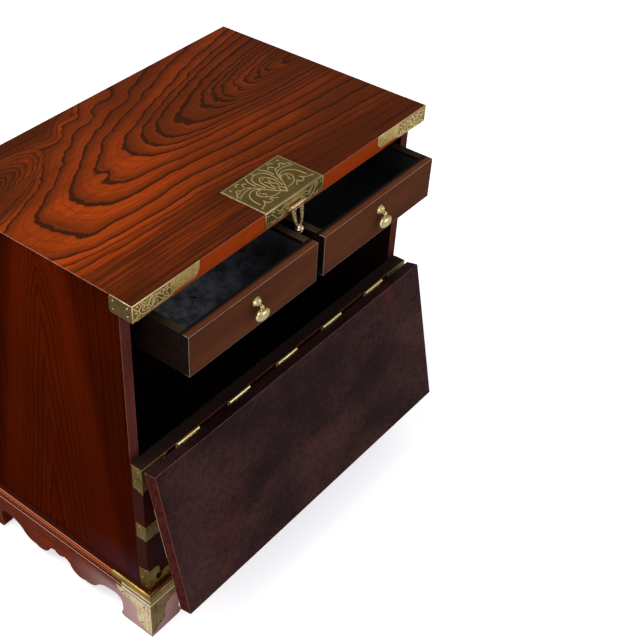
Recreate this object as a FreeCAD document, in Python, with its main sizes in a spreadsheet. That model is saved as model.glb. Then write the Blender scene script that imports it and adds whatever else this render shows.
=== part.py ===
import FreeCAD, Part
import math
import os
import re

import Sketcher

# Drop-front chest with two inner drawers on a footed stand.
# X runs along the front, Y to the back, Z up. The chest stands as it does when it is open: the drop front
# hangs down in front and both drawers are drawn out. The origin is the middle of that outline, on the floor.

SIZES = {
    # Case boards
    "case_width": 610,
    "case_depth": 385,
    "case_height": 535,
    "top_th": 25.6,
    "side_th": 16.6,
    "front_th": 20.2,
    "back_th": 10,
    "bottom_th": 12,
    "top_overhang": 2.9,
    "opening_height": 254.5,
    # Drop front, and how far it stands from closed
    "flap_gap": 1.2,
    "flap_top_gap": 3,
    "flap_clearance": 0.4,
    "open_angle": 167,
    # Hinges of the drop front
    "hinge_offset": 2.9,
    "hinge_inset": 89,
    "hinge_length": 44,
    "end_knuckle": 8.4,
    "knuckle_gap": 0.3,
    "knuckle_r": 2.6,
    "hinge_pin_r": 1.2,
    "pin_clearance": 0.05,
    "leaf_th": 1.2,
    "leaf_height": 27,
    "leaf_notch": 3.4,
    # Drawers and what carries them
    "guide_width": 26.6,
    "drawer_height": 63.2,
    "drawer_gap": 15,
    "drawer_drop": 24,
    "drawer_reach": 48.2,
    "drawer_recess": 58,
    "drawer_play": 0.5,
    "drawer_front_th": 15,
    "drawer_side_th": 11.5,
    "drawer_back_th": 9,
    "drawer_bottom_th": 5,
    "drawer_bottom_rise": 5,
    "drawer_groove": 4,
    "drawer_back_drop": 4,
    "shelf_th": 10,
    "kicker_reach": 8,
    # Drawer pulls
    "boss_r": 6.8,
    "boss_height": 6.2,
    "boss_drop": 21,
    "pull_pin_out": 10.4,
    "pull_pin_drop": 3,
    "pull_pin_r": 0.9,
    "lug_th": 2,
    "lug_r": 1.9,
    "ear_th": 1.6,
    "ear_gap": 0.4,
    "ear_r": 1.9,
    "drop_neck": 5.2,
    "drop_width": 26,
    "drop_height": 16.4,
    "drop_th": 12.6,
    # Stand
    "stand_height": 90,
    "stand_reach": 12.4,
    "moulding_th": 17.3,
    "moulding_width": 52,
    "bead_reach": 1.2,
    "bead_height": 4,
    "step_height": 6.5,
    "step_reach": 10.6,
    "ovolo": 4.2,
    "apron_th": 18,
    "foot_width": 57,
    "back_foot_width": 75,
    "back_arch": 20,
    "back_rail_height": 46,
    "corner_block": 24,
    "block_rise": 19,
    # Sheet brass, and the nailed mounts cut from it
    "brass_th": 0.8,
    "plate_th": 1.2,
    "corner_cut": 3,
    "top_arm": 118,
    "top_side_arm": 38,
    "bracket_arm": 50,
    "bracket_height": 48,
    "side_wrap": 17,
    "strap_arm": 30,
    "strap_height": 29,
    "cap_arm": 68,
    "foot_arm": 58,
    "flap_strap_arm": 26,
    "flap_strap_height": 86,
    "flap_strap_rise": 66,
    # Lock
    "lock_width": 120,
    "lock_depth": 76,
    "flange_height": 22.5,
    "hasp_drop": 13,
    "hasp_out": 3.6,
    "hasp_r": 2.2,
    "hasp_pin_r": 1,
    "hasp_width": 25,
    "hasp_ear": 5.5,
    "hasp_gap": 0.3,
    "hasp_tilt": 10,
    "hasp_th": 1.8,
    "hasp_length": 31,
    "hasp_tail": 9,
    "hasp_strap": 6.8,
    "slot_width": 5.2,
    "slot_end": 2.2,
    "ball_r": 5.8,
    "flap_lock_width": 64,
    "flap_lock_height": 58,
    "flap_lock_drop": 2,
    "staple_width": 3,
    "staple_height": 7.8,
    "staple_reach": 10.6,
    "staple_drop": 1.9,
    "staple_wall": 2,
    "overrun": 1,
}

# The scrolled edge of an apron from its middle out to a foot. Each stop has a share of the run to the foot,
# a share of the foot's width and a share of the height; an arc's middle follows in the same way.
SCROLL_MIDDLE_SHARE = 0.46
SCROLL_SHARES = (
    ((0.07, 0, 0.52), (0.035, 0, 0.475)),
    ((0.18, 0, 0.37), (0.14, 0, 0.485)),
    ((0.40, 0, 0.25), (0.28, 0, 0.225)),
    ((1, -0.98, 0.43), (0.60, -0.10, 0.335)),
    ((1, -0.42, 0.61), (1, -0.72, 0.565)),
    ((1, -0.05, 0.36), (1, -0.12, 0.555)),
    ((1, -0.12, 0.11), (1, -0.05, 0.25)),
    ((1, 0, 0), (1, -0.08, 0.03)),
)

# Outlines as shares of a width and a height: a place, and for an arc also one that it runs through
BACK_ARCH_SHARES = (0.3, 0.36)
DROP_SHARES = ((0, 0.30), (0.12, 0.62), (0.34, 0.92), (0.62, 1), (0.86, 0.80), (1, 0.40))
SHIELD_SHARES = ((0, -1), (1, -0.62), (1, 0))
HASP_SHARES = ((0.9, -0.48, 0.71, -0.76), (1, -0.07, 0.97, -0.27))
HASP_EYE_SHARES = ((1, -0.42, 0.92, -0.68), (0, -0.12, 0.85, -0.22))
TOP_ARM_SHARES = (
    (0.03, -0.90),
    (0.10, -1.00, 0.06, -1.00),
    (0.56, -0.92),
    (0.60, -0.80),
    (0.88, -0.80),
    (1.00, -0.25, 0.98, -0.60),
    (1.00, 0.00),
)
BRACKET_SHARES = (
    (0.00, 1.00),
    (0.16, 0.87, 0.06, 0.88),
    (0.46, 0.66, 0.34, 0.86),
    (0.66, 0.44, 0.50, 0.48),
    (0.90, 0.26, 0.84, 0.42),
    (1.00, 0.00, 0.93, 0.10),
)
WRAP_SHARES = ((1, 0), (1, 0.88), (0, 1, 0.5, 0.91))
SWIRL_SHARES = (
    (0.56, 0.40, 0.43, 0.22),
    (0.50, 0.56, 0.57, 0.49),
    (0.46, 0.46, 0.49, 0.50),
    (0.30, 0.40, 0.38, 0.52),
)
STRAP_DROP_SHARE = 0.4225
FOOT_SHARES = (
    (0.00, 0.10),
    (0.28, 0.22, 0.16, 0.12),
    (0.50, 0.45, 0.47, 0.30),
    (0.88, 0.78, 0.58, 0.68),
    (1.20, 0.97, 1.02, 0.80),
    (1.20, 1.00),
)

# Round forms with flat sides, level by level: a share of the height and a share of the radius
SIDES = 16
BOSS_SHARES = ((0, 1), (0.5, 0.86), (0.85, 0.52), (1, 0.2))
BALL_SHARES = ((-1, 0.2), (-0.8, 0.6), (-0.35, 0.94), (0.35, 0.94), (0.8, 0.6), (1, 0.2))

doc = FreeCAD.newDocument("chest")
dims = doc.addObject("Spreadsheet::Sheet", "dims")
for row, (size, value) in enumerate(SIZES.items(), 1):
    dims.set(f"A{row}", str(value))
    dims.setAlias(f"A{row}", size)
doc.recompute()

# Places that several pieces share
TILT = "(180 - open_angle)"
FLAP_TH = "(front_th - flap_clearance)"
FLAP_HEIGHT = "(opening_height - flap_gap - flap_top_gap)"
FLAP_SWEEP = f"((hinge_offset + {FLAP_TH})*cos({TILT}) + (flap_gap + {FLAP_HEIGHT})*sin({TILT}))"
FRONT = f"((hinge_offset - top_overhang + {FLAP_SWEEP} - case_depth)/2)"
FACE = f"({FRONT} + top_overhang)"
SHOULDER = f"({FACE} + front_th)"
BACK = f"({FRONT} + case_depth)"
HINGE_Y = f"({FACE} - hinge_offset)"
TOP = "(stand_height + case_height)"
CEILING = f"({TOP} - top_th)"
RAIL = f"({CEILING} - opening_height)"
HALF = "(case_width/2)"
HINGE_PITCH = f"(({HALF} - hinge_inset)/2)"
INNER = f"({HALF} - side_th)"
RIM = f"({CEILING} - drawer_drop)"
SHELF = f"({RIM} - drawer_height - drawer_play)"
DRAWER_WIDTH = f"({INNER} - guide_width - drawer_play - drawer_gap/2)"
DRAWER_X = f"(drawer_gap/2 + {DRAWER_WIDTH}/2)"
DRAWER_Y = f"({FRONT} - drawer_reach)"
DRAWER_DEPTH = "(case_depth - back_th - drawer_recess - drawer_play)"
LEDGE = "(stand_height - moulding_th)"
STAND_X = f"({HALF} + stand_reach)"
STAND_Y = f"({FACE} - stand_reach)"
HASP_Y = f"({FRONT} - plate_th - hasp_out)"
HASP_Z = f"({TOP} - hasp_drop)"

# How far the middle of a quarter round lies from each of its square sides, as a share of its radius
QUARTER_SHARE = "(1 - sqrt(0.5))"

ALONG = FreeCAD.Rotation(FreeCAD.Vector(0, 1, 0), 90)
FORWARDS = FreeCAD.Rotation(FreeCAD.Vector(1, 0, 0), 90)
nodes = []


def link(text):
    """The formula as the document reads it, with each size taken from the sheet."""
    return re.sub(r"[a-z]\w*", lambda word: "dims." + word[0] if word[0] in SIZES else word[0], text)


def number(text):
    """What the formula comes to now, in millimetres."""
    return float(dims.evalExpression(text))


def node(name, piece):
    """Keeps a finished sub-part under its own name."""
    piece.Label = name
    nodes.append(piece)
    return piece


def place(piece, x="0", y="0", z="0"):
    """Puts a piece at a place given by three formulas."""
    for axis, text in zip("xyz", (x, y, z)):
        piece.setExpression(f"Placement.Base.{axis}", link(text))
    return piece


def tilt(piece, angle, y, z):
    """Puts a piece at its pivot, turned about X."""
    piece.Placement.Rotation = FreeCAD.Rotation(FreeCAD.Vector(1, 0, 0), number(angle))
    piece.setExpression("Placement.Rotation.Angle", link(angle))
    return place(piece, "0", y, z)


def block(name, x, y, z):
    """A block between two places along each axis."""
    piece = doc.addObject("Part::Box", name)
    for side, axis, (low, high) in zip(("Length", "Width", "Height"), "xyz", (x, y, z)):
        piece.setExpression(side, link(f"({high}) - ({low})"))
        piece.setExpression(f"Placement.Base.{axis}", link(low))
    return piece


def rod(name, radius, x, y="0", z="0"):
    """A round rod along X."""
    piece = doc.addObject("Part::Cylinder", name)
    piece.setExpression("Radius", link(radius))
    piece.setExpression("Height", link(f"({x[1]}) - ({x[0]})"))
    piece.Placement.Rotation = ALONG
    return place(piece, x[0], y, z)


def joined(name, *pieces):
    """One solid out of pieces that run into each other."""
    piece = doc.addObject("Part::MultiFuse", name)
    piece.Shapes = list(pieces)
    piece.Refine = True
    return piece


def cut(name, base, tool):
    """What is left of a piece when the tool is cut away."""
    piece = doc.addObject("Part::Cut", name)
    piece.Base = base
    piece.Tool = tool
    return piece


def many_sided(name, shares, radius, height, turn=FreeCAD.Rotation(), depth=None):
    """A round or oval form with flat sides, from a regular outline at each level above its base."""
    deep = number(depth or radius)
    rings = []
    for level, share in shares:
        reach = share * number(radius)
        inward = share * deep
        angles = [math.tau * i / SIDES for i in range(SIDES)]
        rise = level * number(height)
        rings.append([FreeCAD.Vector(reach * math.cos(a), inward * math.sin(a), rise) for a in angles])
    corners = [rings[0], rings[-1]]
    for lower, upper in zip(rings, rings[1:]):
        for i in range(SIDES):
            corners.append([lower[i - 1], lower[i], upper[i], upper[i - 1]])
    faces = [Part.Face(Part.makePolygon([*ring, ring[0]])) for ring in corners]
    piece = doc.addObject("Part::Feature", name)
    piece.Shape = Part.Solid(Part.Shell(faces))
    piece.Placement.Rotation = turn
    return piece


def bored(name, solid, radius, x, y="0", z="0"):
    """The piece with a bore along X, many-sided, whose flats clear a rod of the given radius."""
    drill = doc.addObject("Part::Prism", name + "_bore")
    drill.Polygon = SIDES
    drill.setExpression("Circumradius", link(f"({radius} + pin_clearance)/cos(180/{SIDES})"))
    drill.setExpression("Height", link(f"({x[1]}) - ({x[0]})"))
    drill.Placement.Rotation = ALONG
    return cut(name, solid, place(drill, x[0], y, z))


def group(name, pieces):
    """Separate solids that share one node."""
    piece = doc.addObject("Part::Compound", name)
    piece.Links = list(pieces)
    return piece


def twin(name, source):
    """The right-hand twin of a left-hand piece."""
    piece = doc.addObject("Part::Mirroring", name)
    piece.Source = source
    piece.Normal = FreeCAD.Vector(1, 0, 0)
    return piece


def pair(name, left):
    """A left-hand piece and its right-hand twin, each as a node of its own."""
    node("left_" + name, left)
    node("right_" + name, twin("right_" + name, left))


def couple(name, left):
    """A left-hand piece and its right-hand twin in one node."""
    node(name, group(name, [left, twin(name + "_twin", left)]))


def body(name):
    return doc.addObject("PartDesign::Body", name)


def arc_through(start, middle, end):
    """An arc for a sketch, and whether it runs from its start to its end counter-clockwise."""
    circle = Part.Arc(*(FreeCAD.Vector(*spot, 0) for spot in (start, middle, end))).toShape().Curve
    centre = circle.Center
    first, half, last = (math.atan2(y - centre.y, x - centre.x) for x, y in (start, middle, end))
    onwards = (half - first) % math.tau < (last - first) % math.tau
    if not onwards:
        first, last = last, first
    whole = Part.Circle(centre, FreeCAD.Vector(0, 0, 1), circle.Radius)
    return Part.ArcOfCircle(whole, first, last if last > first else last + math.tau), onwards


def pin_point(sketch, edge, end, spot):
    """Holds one point of a sketch at two formulas."""
    for kind, text in zip(("DistanceX", "DistanceY"), spot):
        rule = sketch.addConstraint(Sketcher.Constraint(kind, -1, 1, edge, end, number(text)))
        sketch.setExpression(f"Constraints[{rule}]", link(text))


def sketch_on(owner, plane, label):
    """An empty sketch on one of the body's planes."""
    sketch = owner.newObject("Sketcher::SketchObject", f"{owner.Name}_{label}")
    sketch.AttachmentSupport = (next(f for f in owner.Origin.OriginFeatures if f.Role == plane), [""])
    sketch.MapMode = "FlatFace"
    return sketch


def outline(owner, plane, stops, offset="0"):
    """A closed outline on one of the body's planes, moved along its normal by the offset.

    Each stop is where an edge ends: (across, up) for a straight edge, or (across, up, across, up) for an
    arc, whose second pair is a place that it runs through.
    """
    sketch = sketch_on(owner, plane, "sketch")
    sketch.setExpression("AttachmentOffset.Base.z", link(offset))
    spots = [tuple(number(text) for text in stop) for stop in stops]
    ends = []
    for index, spot in enumerate(spots):
        start = spots[index - 1][:2]
        if len(spot) == 4:
            edge, onwards = arc_through(start, spot[2:], spot[:2])
        else:
            edge = Part.LineSegment(FreeCAD.Vector(*start, 0), FreeCAD.Vector(*spot, 0))
            onwards = True
        sketch.addGeometry(edge, False)
        ends.append((1, 2) if onwards else (2, 1))
    for index, stop in enumerate(stops):
        after = (index + 1) % len(stops)
        meeting = (index, ends[index][1], after, ends[after][0])
        sketch.addConstraint(Sketcher.Constraint("Coincident", *meeting))
        pin_point(sketch, index, ends[index][1], stop[:2])
    for index, stop in enumerate(stops):
        if len(stop) == 4:
            spot = FreeCAD.Vector(*spots[index][2:], 0)
            middle = sketch.addGeometry(Part.Point(spot), True)
            sketch.addConstraint(Sketcher.Constraint("PointOnObject", middle, 1, index))
            pin_point(sketch, middle, 1, stop[2:])
    return sketch


def pad(owner, plane, stops, thickness, offset="0", back=False):
    """Adds the outlined shape to the body, thickened along the plane's normal or the other way."""
    feature = owner.newObject("PartDesign::Pad", owner.Name + "_pad")
    feature.Profile = outline(owner, plane, stops, offset)
    feature.setExpression("Length", link(thickness))
    feature.Reversed = back
    return feature


def pocket(owner, plane, stops):
    """Cuts the outlined shape through the body, and makes sure that it took something away."""
    doc.recompute()
    before = owner.Shape.Volume
    sketch = outline(owner, plane, stops)
    feature = owner.newObject("PartDesign::Pocket", owner.Name + "_pocket")
    feature.Profile = sketch
    feature.Type = "ThroughAll"
    feature.SideType = "Symmetric"
    doc.recompute()
    if owner.Shape.Volume >= before:
        raise RuntimeError(f"{feature.Name} cuts nothing")
    return feature


def rectangle(across, up):
    return [(across[0], up[0]), (across[1], up[0]), (across[1], up[1]), (across[0], up[1])]


def scaled(shares, across, up):
    """The stops of an outline given as shares of its width and height."""
    return [
        tuple(f"{share}*{size}" for share, size in zip(stop, (across, up, across, up)))
        for stop in shares
    ]


def both_halves(right):
    """A closed outline from the stops of its right half, which may begin or end on its axis."""
    left = [tuple(f"-1*({text})" if i % 2 == 0 else text for i, text in enumerate(s)) for s in right]
    begins_on_axis, ends_on_axis = (number(right[i][0]) == 0 for i in (0, -1))
    whole = list(right[1:] if begins_on_axis else right)
    if not ends_on_axis:
        whole.append(left[-1][:2])
    for after, stop in zip(left[:0:-1], left[-2::-1]):
        whole.append((*stop[:2], *after[2:]))
    return whole


# Top board, mitred into the side panels behind its overhanging front strip
def top_board():
    board = body("top_board")
    mitred = [(f"-{HALF}", "0"), (HALF, "0"), (INNER, "-top_th"), (f"-{INNER}", "-top_th")]
    pad(board, "XZ_Plane", mitred, "case_depth", back=True)
    strip = rectangle((f"-{HALF}", HALF), ("-top_th", "0"))
    pad(board, "XZ_Plane", strip, "top_overhang + front_th", back=True)
    node("top_board", place(board, "0", FRONT, TOP))


# Side panels, with the other half of the mitre along their upper edge
def side_panels():
    panel = body("left_side_panel")
    stops = [("0", "0"), ("0", "-case_height"), ("side_th", "-case_height"), ("side_th", "-top_th")]
    pad(panel, "XZ_Plane", stops, "case_depth - top_overhang - front_th", back=True)
    pair("side_panel", place(panel, f"-{HALF}", SHOULDER, TOP))


def case_boards():
    between = (f"-{INNER}", INNER)
    rear = (f"{BACK} - back_th", BACK)
    node("back_panel", block("back_panel", between, rear, ("stand_height", CEILING)))
    floor = ("stand_height", "stand_height + bottom_th")
    node("bottom_board", block("bottom_board", between, (SHOULDER, rear[0]), floor))
    front = block("lower_front_board", (f"-{HALF}", HALF), (FACE, SHOULDER), ("stand_height", RAIL))
    node("lower_front_board", front)


# Shelf under the drawers, guides beside them, and kickers above their sides that keep them level
def drawer_bearers():
    depth = (f"{FRONT} + drawer_recess", f"{BACK} - back_th")
    shelf = block("drawer_shelf", (f"-{INNER}", INNER), depth, (f"{SHELF} - shelf_th", SHELF))
    node("drawer_shelf", shelf)
    level = f"({RIM} + drawer_play)"
    wall = f"({INNER} - guide_width)"
    half = "(drawer_gap/2 - drawer_play)"
    kickers = []
    for side, low, high in (("left", f"-{INNER}", f"-{wall}"), ("right", wall, INNER)):
        guide = block(f"{side}_drawer_guide", (low, high), depth, (SHELF, level))
        node(f"{side}_drawer_guide", guide)
        reach = (f"{low} - kicker_reach", high) if side == "right" else (low, f"{high} + kicker_reach")
        kickers.append(block(f"{side}_kicker", reach, depth, (level, CEILING)))
    node("centre_drawer_guide", block("centre_drawer_guide", (f"-{half}", half), depth, (SHELF, level)))
    reach = (f"-{half} - kicker_reach", f"{half} + kicker_reach")
    kickers.append(block("centre_kicker", reach, depth, (level, CEILING)))
    node("drawer_kickers", group("drawer_kickers", kickers))


def moulding_section():
    """The stand's moulding, from its lower inner edge round by the outer side."""
    bead = "(bead_height - moulding_th)"
    quarter = f"{QUARTER_SHARE}*ovolo"
    return [
        ("moulding_width", "-moulding_th"),
        ("-stand_reach", "-moulding_th"),
        ("-stand_reach", bead, "-stand_reach - bead_reach", f"{bead} - bead_height/2"),
        ("-stand_reach", "-step_height"),
        ("-step_reach", "-step_height"),
        ("-step_reach", "-ovolo"),
        ("ovolo - step_reach", "0", f"{quarter} - step_reach", f"-{quarter}"),
        ("moulding_width", "0"),
    ]


# Stand: mitred mouldings under the case, a plain rail behind
def stand_mouldings():
    front = body("stand_front_moulding")
    reach = "(stand_reach + bead_reach + overrun)"
    width = f"({HALF} + {reach})"
    pad(front, "YZ_Plane", moulding_section(), f"2*{width}", offset=f"-{width}")
    span = f"({reach} + moulding_width + overrun)"
    for sign in ("-1", "1"):
        outer = f"{sign}*({HALF} + {span})"
        corner = f"{sign}*({HALF} - {span})"
        pocket(front, "XY_Plane", [(outer, f"-{span}"), (outer, span), (corner, span)])
    node("stand_front_moulding", place(front, "0", FACE, "stand_height"))
    side = body("stand_left_moulding")
    pad(side, "XZ_Plane", moulding_section(), f"{BACK} - {FACE} + {reach}", offset=reach, back=True)
    pocket(side, "XY_Plane", [(f"-{span}", f"-{span}"), (span, f"-{span}"), (span, span)])
    node("stand_left_moulding", place(side, f"-{HALF}", FACE, "stand_height"))
    node("stand_right_moulding", twin("stand_right_moulding", side))
    across = (f"moulding_width - {HALF}", f"{HALF} - moulding_width")
    depth = (f"{BACK} - moulding_width", BACK)
    node("stand_back_rail", block("stand_back_rail", across, depth, (LEDGE, "stand_height")))


def apron_outline(half):
    """A whole apron with its foot at either end, as seen from its face."""
    run = f"({half} - foot_width)"
    right = [("0", f"{SCROLL_MIDDLE_SHARE}*{LEDGE}")]
    for places in SCROLL_SHARES:
        stop = []
        for run_share, foot_share, height_share in places:
            stop += [f"{run_share}*{run} + {foot_share}*foot_width", f"{height_share}*{LEDGE}"]
        right.append(tuple(stop))
    return both_halves([*right, (half, "0"), (half, LEDGE)])


def stand_aprons():
    front = body("stand_front_apron")
    pad(front, "XZ_Plane", apron_outline(STAND_X), "apron_th", back=True)
    for sign in ("-1", "1"):
        outer = f"{sign}*{STAND_X}"
        corner = f"{sign}*({STAND_X} - apron_th)"
        pocket(front, "XY_Plane", [(outer, "0"), (outer, "apron_th"), (corner, "apron_th")])
    node("stand_front_apron", place(front, "0", STAND_Y, "0"))
    side = body("stand_left_apron")
    half = f"(({BACK} - {STAND_Y})/2)"
    pad(side, "YZ_Plane", apron_outline(half), "apron_th")
    mitre = [("0", f"-{half}"), ("apron_th", f"-{half}"), ("apron_th", f"apron_th - {half}")]
    pocket(side, "XY_Plane", mitre)
    node("stand_left_apron", place(side, f"-{STAND_X}", f"({BACK} + {STAND_Y})/2", "0"))
    node("stand_right_apron", twin("stand_right_apron", side))


# Plain board between the back feet, and the glue blocks inside the corners
def stand_back():
    half = f"({STAND_X} - apron_th)"
    foot = f"({STAND_X} - back_foot_width)"
    spring = f"({LEDGE} - back_rail_height)"
    inward, upward = (f"{share}*back_arch" for share in BACK_ARCH_SHARES)
    right = [
        (f"{foot} - back_arch", f"{spring} + back_arch/2"),
        (foot, spring, f"{foot} - {inward}", f"{spring} + {upward}"),
        (foot, "0"),
        (half, "0"),
        (half, LEDGE),
    ]
    board = body("stand_back_apron")
    pad(board, "XZ_Plane", both_halves(right), "apron_th")
    node("stand_back_apron", place(board, "0", BACK, "0"))
    fore = f"({STAND_Y} + apron_th)"
    aft = f"({BACK} - apron_th)"
    blocks = []
    for side, sign in (("left", "-1"), ("right", "1")):
        ends = (f"{sign}*({half} - corner_block)", f"{sign}*{half}")
        x = sorted(ends, key=number)
        height = ("block_rise", LEDGE)
        blocks.append(block(f"{side}_front_block", x, (fore, f"{fore} + corner_block"), height))
        blocks.append(block(f"{side}_back_block", x, (f"{aft} - corner_block", aft), height))
    node("stand_corner_blocks", group("stand_corner_blocks", blocks))


# Drop front, drawn closed about its hinge line and then turned open
def drop_front():
    panel = body("drop_front_panel")
    face = rectangle((f"-{HALF}", HALF), ("flap_gap", f"flap_gap + {FLAP_HEIGHT}"))
    pad(panel, "XZ_Plane", face, FLAP_TH, offset="-hinge_offset", back=True)
    node("drop_front_panel", tilt(panel, "open_angle", HINGE_Y, RAIL))


def leaf(name, index, upper):
    """One hinge leaf with its knuckles: two at the ends on the case, one between them on the drop front."""
    middle = f"({index}*{HINGE_PITCH})"
    end = "(hinge_length/2)"
    inner = f"({end} - end_knuckle)"
    if upper:
        spans = [(f"{middle} - {inner} + knuckle_gap", f"{middle} + {inner} - knuckle_gap")]
        near, far = "leaf_notch", "leaf_height"
        web = ("knuckle_r - leaf_th", near)
    else:
        spans = [
            (f"{middle} - {end}", f"{middle} - {inner}"),
            (f"{middle} + {inner}", f"{middle} + {end}"),
        ]
        near, far = "-leaf_height", "-leaf_notch"
        web = (far, "leaf_th - knuckle_r")
    depth = ("hinge_offset - leaf_th", "hinge_offset")
    pieces = [block(name + "_plate", (f"{middle} - {end}", f"{middle} + {end}"), depth, (near, far))]
    for order, span in enumerate(spans):
        pieces.append(rod(f"{name}_knuckle_{order}", "knuckle_r", span))
        pieces.append(block(f"{name}_web_{order}", span, (depth[0], "knuckle_r"), web))
    solid = joined(name + "_solid", *pieces)
    return bored(name, solid, "hinge_pin_r", (f"{middle} - hinge_length", f"{middle} + hinge_length"))


def hinges():
    indices = range(-2, 3)
    fixed = group("hinge_case_leaves", [leaf(f"case_leaf_{i + 3}", i, False) for i in indices])
    node("hinge_case_leaves", place(fixed, "0", HINGE_Y, RAIL))
    moving = group("hinge_flap_leaves", [leaf(f"flap_leaf_{i + 3}", i, True) for i in indices])
    node("hinge_flap_leaves", tilt(moving, "open_angle", HINGE_Y, RAIL))
    pins = []
    for i in indices:
        middle = f"({i}*{HINGE_PITCH})"
        span = (f"{middle} - hinge_length/2", f"{middle} + hinge_length/2")
        pins.append(rod(f"hinge_pin_{i + 3}", "hinge_pin_r", span))
    node("hinge_pins", place(group("hinge_pins", pins), "0", HINGE_Y, RAIL))


# Brass on the drop front: lock plate with its staple, and a strap near either end
def drop_front_brass():
    top = f"(flap_gap + {FLAP_HEIGHT} - flap_lock_drop)"
    plate = body("drop_front_lock_plate")
    shield = [
        (x, f"{top} + {drop}") for x, drop in scaled(SHIELD_SHARES, "flap_lock_width/2", "flap_lock_height")
    ]
    pad(plate, "XZ_Plane", both_halves(shield), "brass_th", offset="-hinge_offset")
    node("drop_front_lock_plate", tilt(plate, "open_angle", HINGE_Y, RAIL))
    width = ("-staple_width/2", "staple_width/2")
    surface = "(hinge_offset - brass_th)"
    outer = f"({surface} - staple_reach)"
    upper = f"({top} - staple_drop)"
    eye = block("staple_eye", width, (outer, surface), (f"{upper} - staple_height", upper))
    depth = (f"{outer} + staple_wall", f"{surface} - staple_wall")
    rise = (f"{upper} - staple_height + staple_wall", f"{upper} - staple_wall")
    hole = block("staple_hole", ("-staple_width", "staple_width"), depth, rise)
    node("lock_staple", tilt(cut("lock_staple", eye, hole), "open_angle", HINGE_Y, RAIL))
    strap = body("drop_front_left_strap")
    across = (f"-{HALF}", f"flap_strap_arm - {HALF}")
    stops = rectangle(across, ("flap_strap_rise", "flap_strap_rise + flap_strap_height"))
    pad(strap, "XZ_Plane", stops, "brass_th", offset="-hinge_offset")
    node("drop_front_left_strap", tilt(strap, "open_angle", HINGE_Y, RAIL))
    node("drop_front_right_strap", twin("drop_front_right_strap", strap))


def drawer(side, sign):
    """A drawer: front board across the sides' ends, bottom board let into grooves, back board on it."""
    middle = f"({sign}*{DRAWER_X})"
    half = f"({DRAWER_WIDTH}/2)"
    inside = f"({half} - drawer_side_th)"
    groove_x = f"({inside} + drawer_groove)"
    rear = f"({DRAWER_Y} + {DRAWER_DEPTH})"
    behind = f"({DRAWER_Y} + drawer_front_th)"
    low = f"({RIM} - drawer_height)"
    rise = (f"{low} + drawer_bottom_rise", f"{low} + drawer_bottom_rise + drawer_bottom_th")
    name = f"{side}_drawer"

    def across(left, right):
        return (f"{middle} + {left}", f"{middle} + {right}")

    bed = (across(f"-{groove_x}", groove_x), f"{behind} - drawer_groove")
    groove = block(f"{name}_groove", bed[0], (bed[1], f"{rear} + overrun"), rise)
    front = block(f"{name}_front_board", across(f"-{half}", half), (DRAWER_Y, behind), (low, RIM))
    node(f"{name}_front", cut(f"{name}_front", front, groove))
    for label, span in (("left", across(f"-{half}", f"-{inside}")), ("right", across(inside, half))):
        board = block(f"{name}_{label}_board", span, (behind, rear), (low, RIM))
        node(f"{name}_{label}_side", cut(f"{name}_{label}_side", board, groove))
    height = (rise[1], f"{RIM} - drawer_back_drop")
    depth = (f"{rear} - drawer_back_th", rear)
    node(f"{name}_back", block(f"{name}_back", across(f"-{inside}", inside), depth, height))
    node(f"{name}_bottom", block(f"{name}_bottom", bed[0], (bed[1], rear), rise))


# Pull: a domed boss with a bored lug, and an apple-shaped drop whose two ears carry the cross pin
def pull(side, sign):
    middle = f"({sign}*{DRAWER_X})"
    height = f"({RIM} - boss_drop)"
    name = f"{side}_pull"
    dome = many_sided(f"{name}_dome", BOSS_SHARES, "boss_r", "boss_height", FORWARDS)
    width = ("-lug_th/2", "lug_th/2")
    rise = ("-pull_pin_drop - lug_r", "-pull_pin_drop + lug_r")
    lug = block(f"{name}_lug", width, ("-pull_pin_out", "0"), rise)
    pivot = ("-pull_pin_out", "-pull_pin_drop")
    nose = rod(f"{name}_nose", "lug_r", width, *pivot)
    solid = joined(f"{name}_post_solid", dome, lug, nose)
    post = bored(f"{name}_post", solid, "pull_pin_r", ("-lug_th", "lug_th"), *pivot)
    node(f"{name}_post", place(post, middle, DRAWER_Y, height))
    apple = many_sided(f"{name}_apple", DROP_SHARES, "drop_width/2", "drop_height", depth="drop_th/2")
    place(apple, "0", "0", "-drop_neck - drop_height")
    near = "(lug_th/2 + ear_gap)"
    outer = f"({near} + ear_th)"
    pieces = [apple, rod(f"{name}_cross_pin", "pull_pin_r", (f"-{outer}", outer))]
    for label, span in (("left", (f"-{outer}", f"-{near}")), ("right", (near, outer))):
        pieces.append(rod(f"{name}_{label}_ear", "ear_r", span))
        arm = ("-drop_neck - ear_r", "0")
        pieces.append(block(f"{name}_{label}_arm", span, ("-ear_r", "ear_r"), arm))
    drop = joined(f"{name}_drop", *pieces)
    place(drop, middle, f"{DRAWER_Y} - pull_pin_out", f"{height} - pull_pin_drop")
    node(f"{name}_drop", drop)


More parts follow.
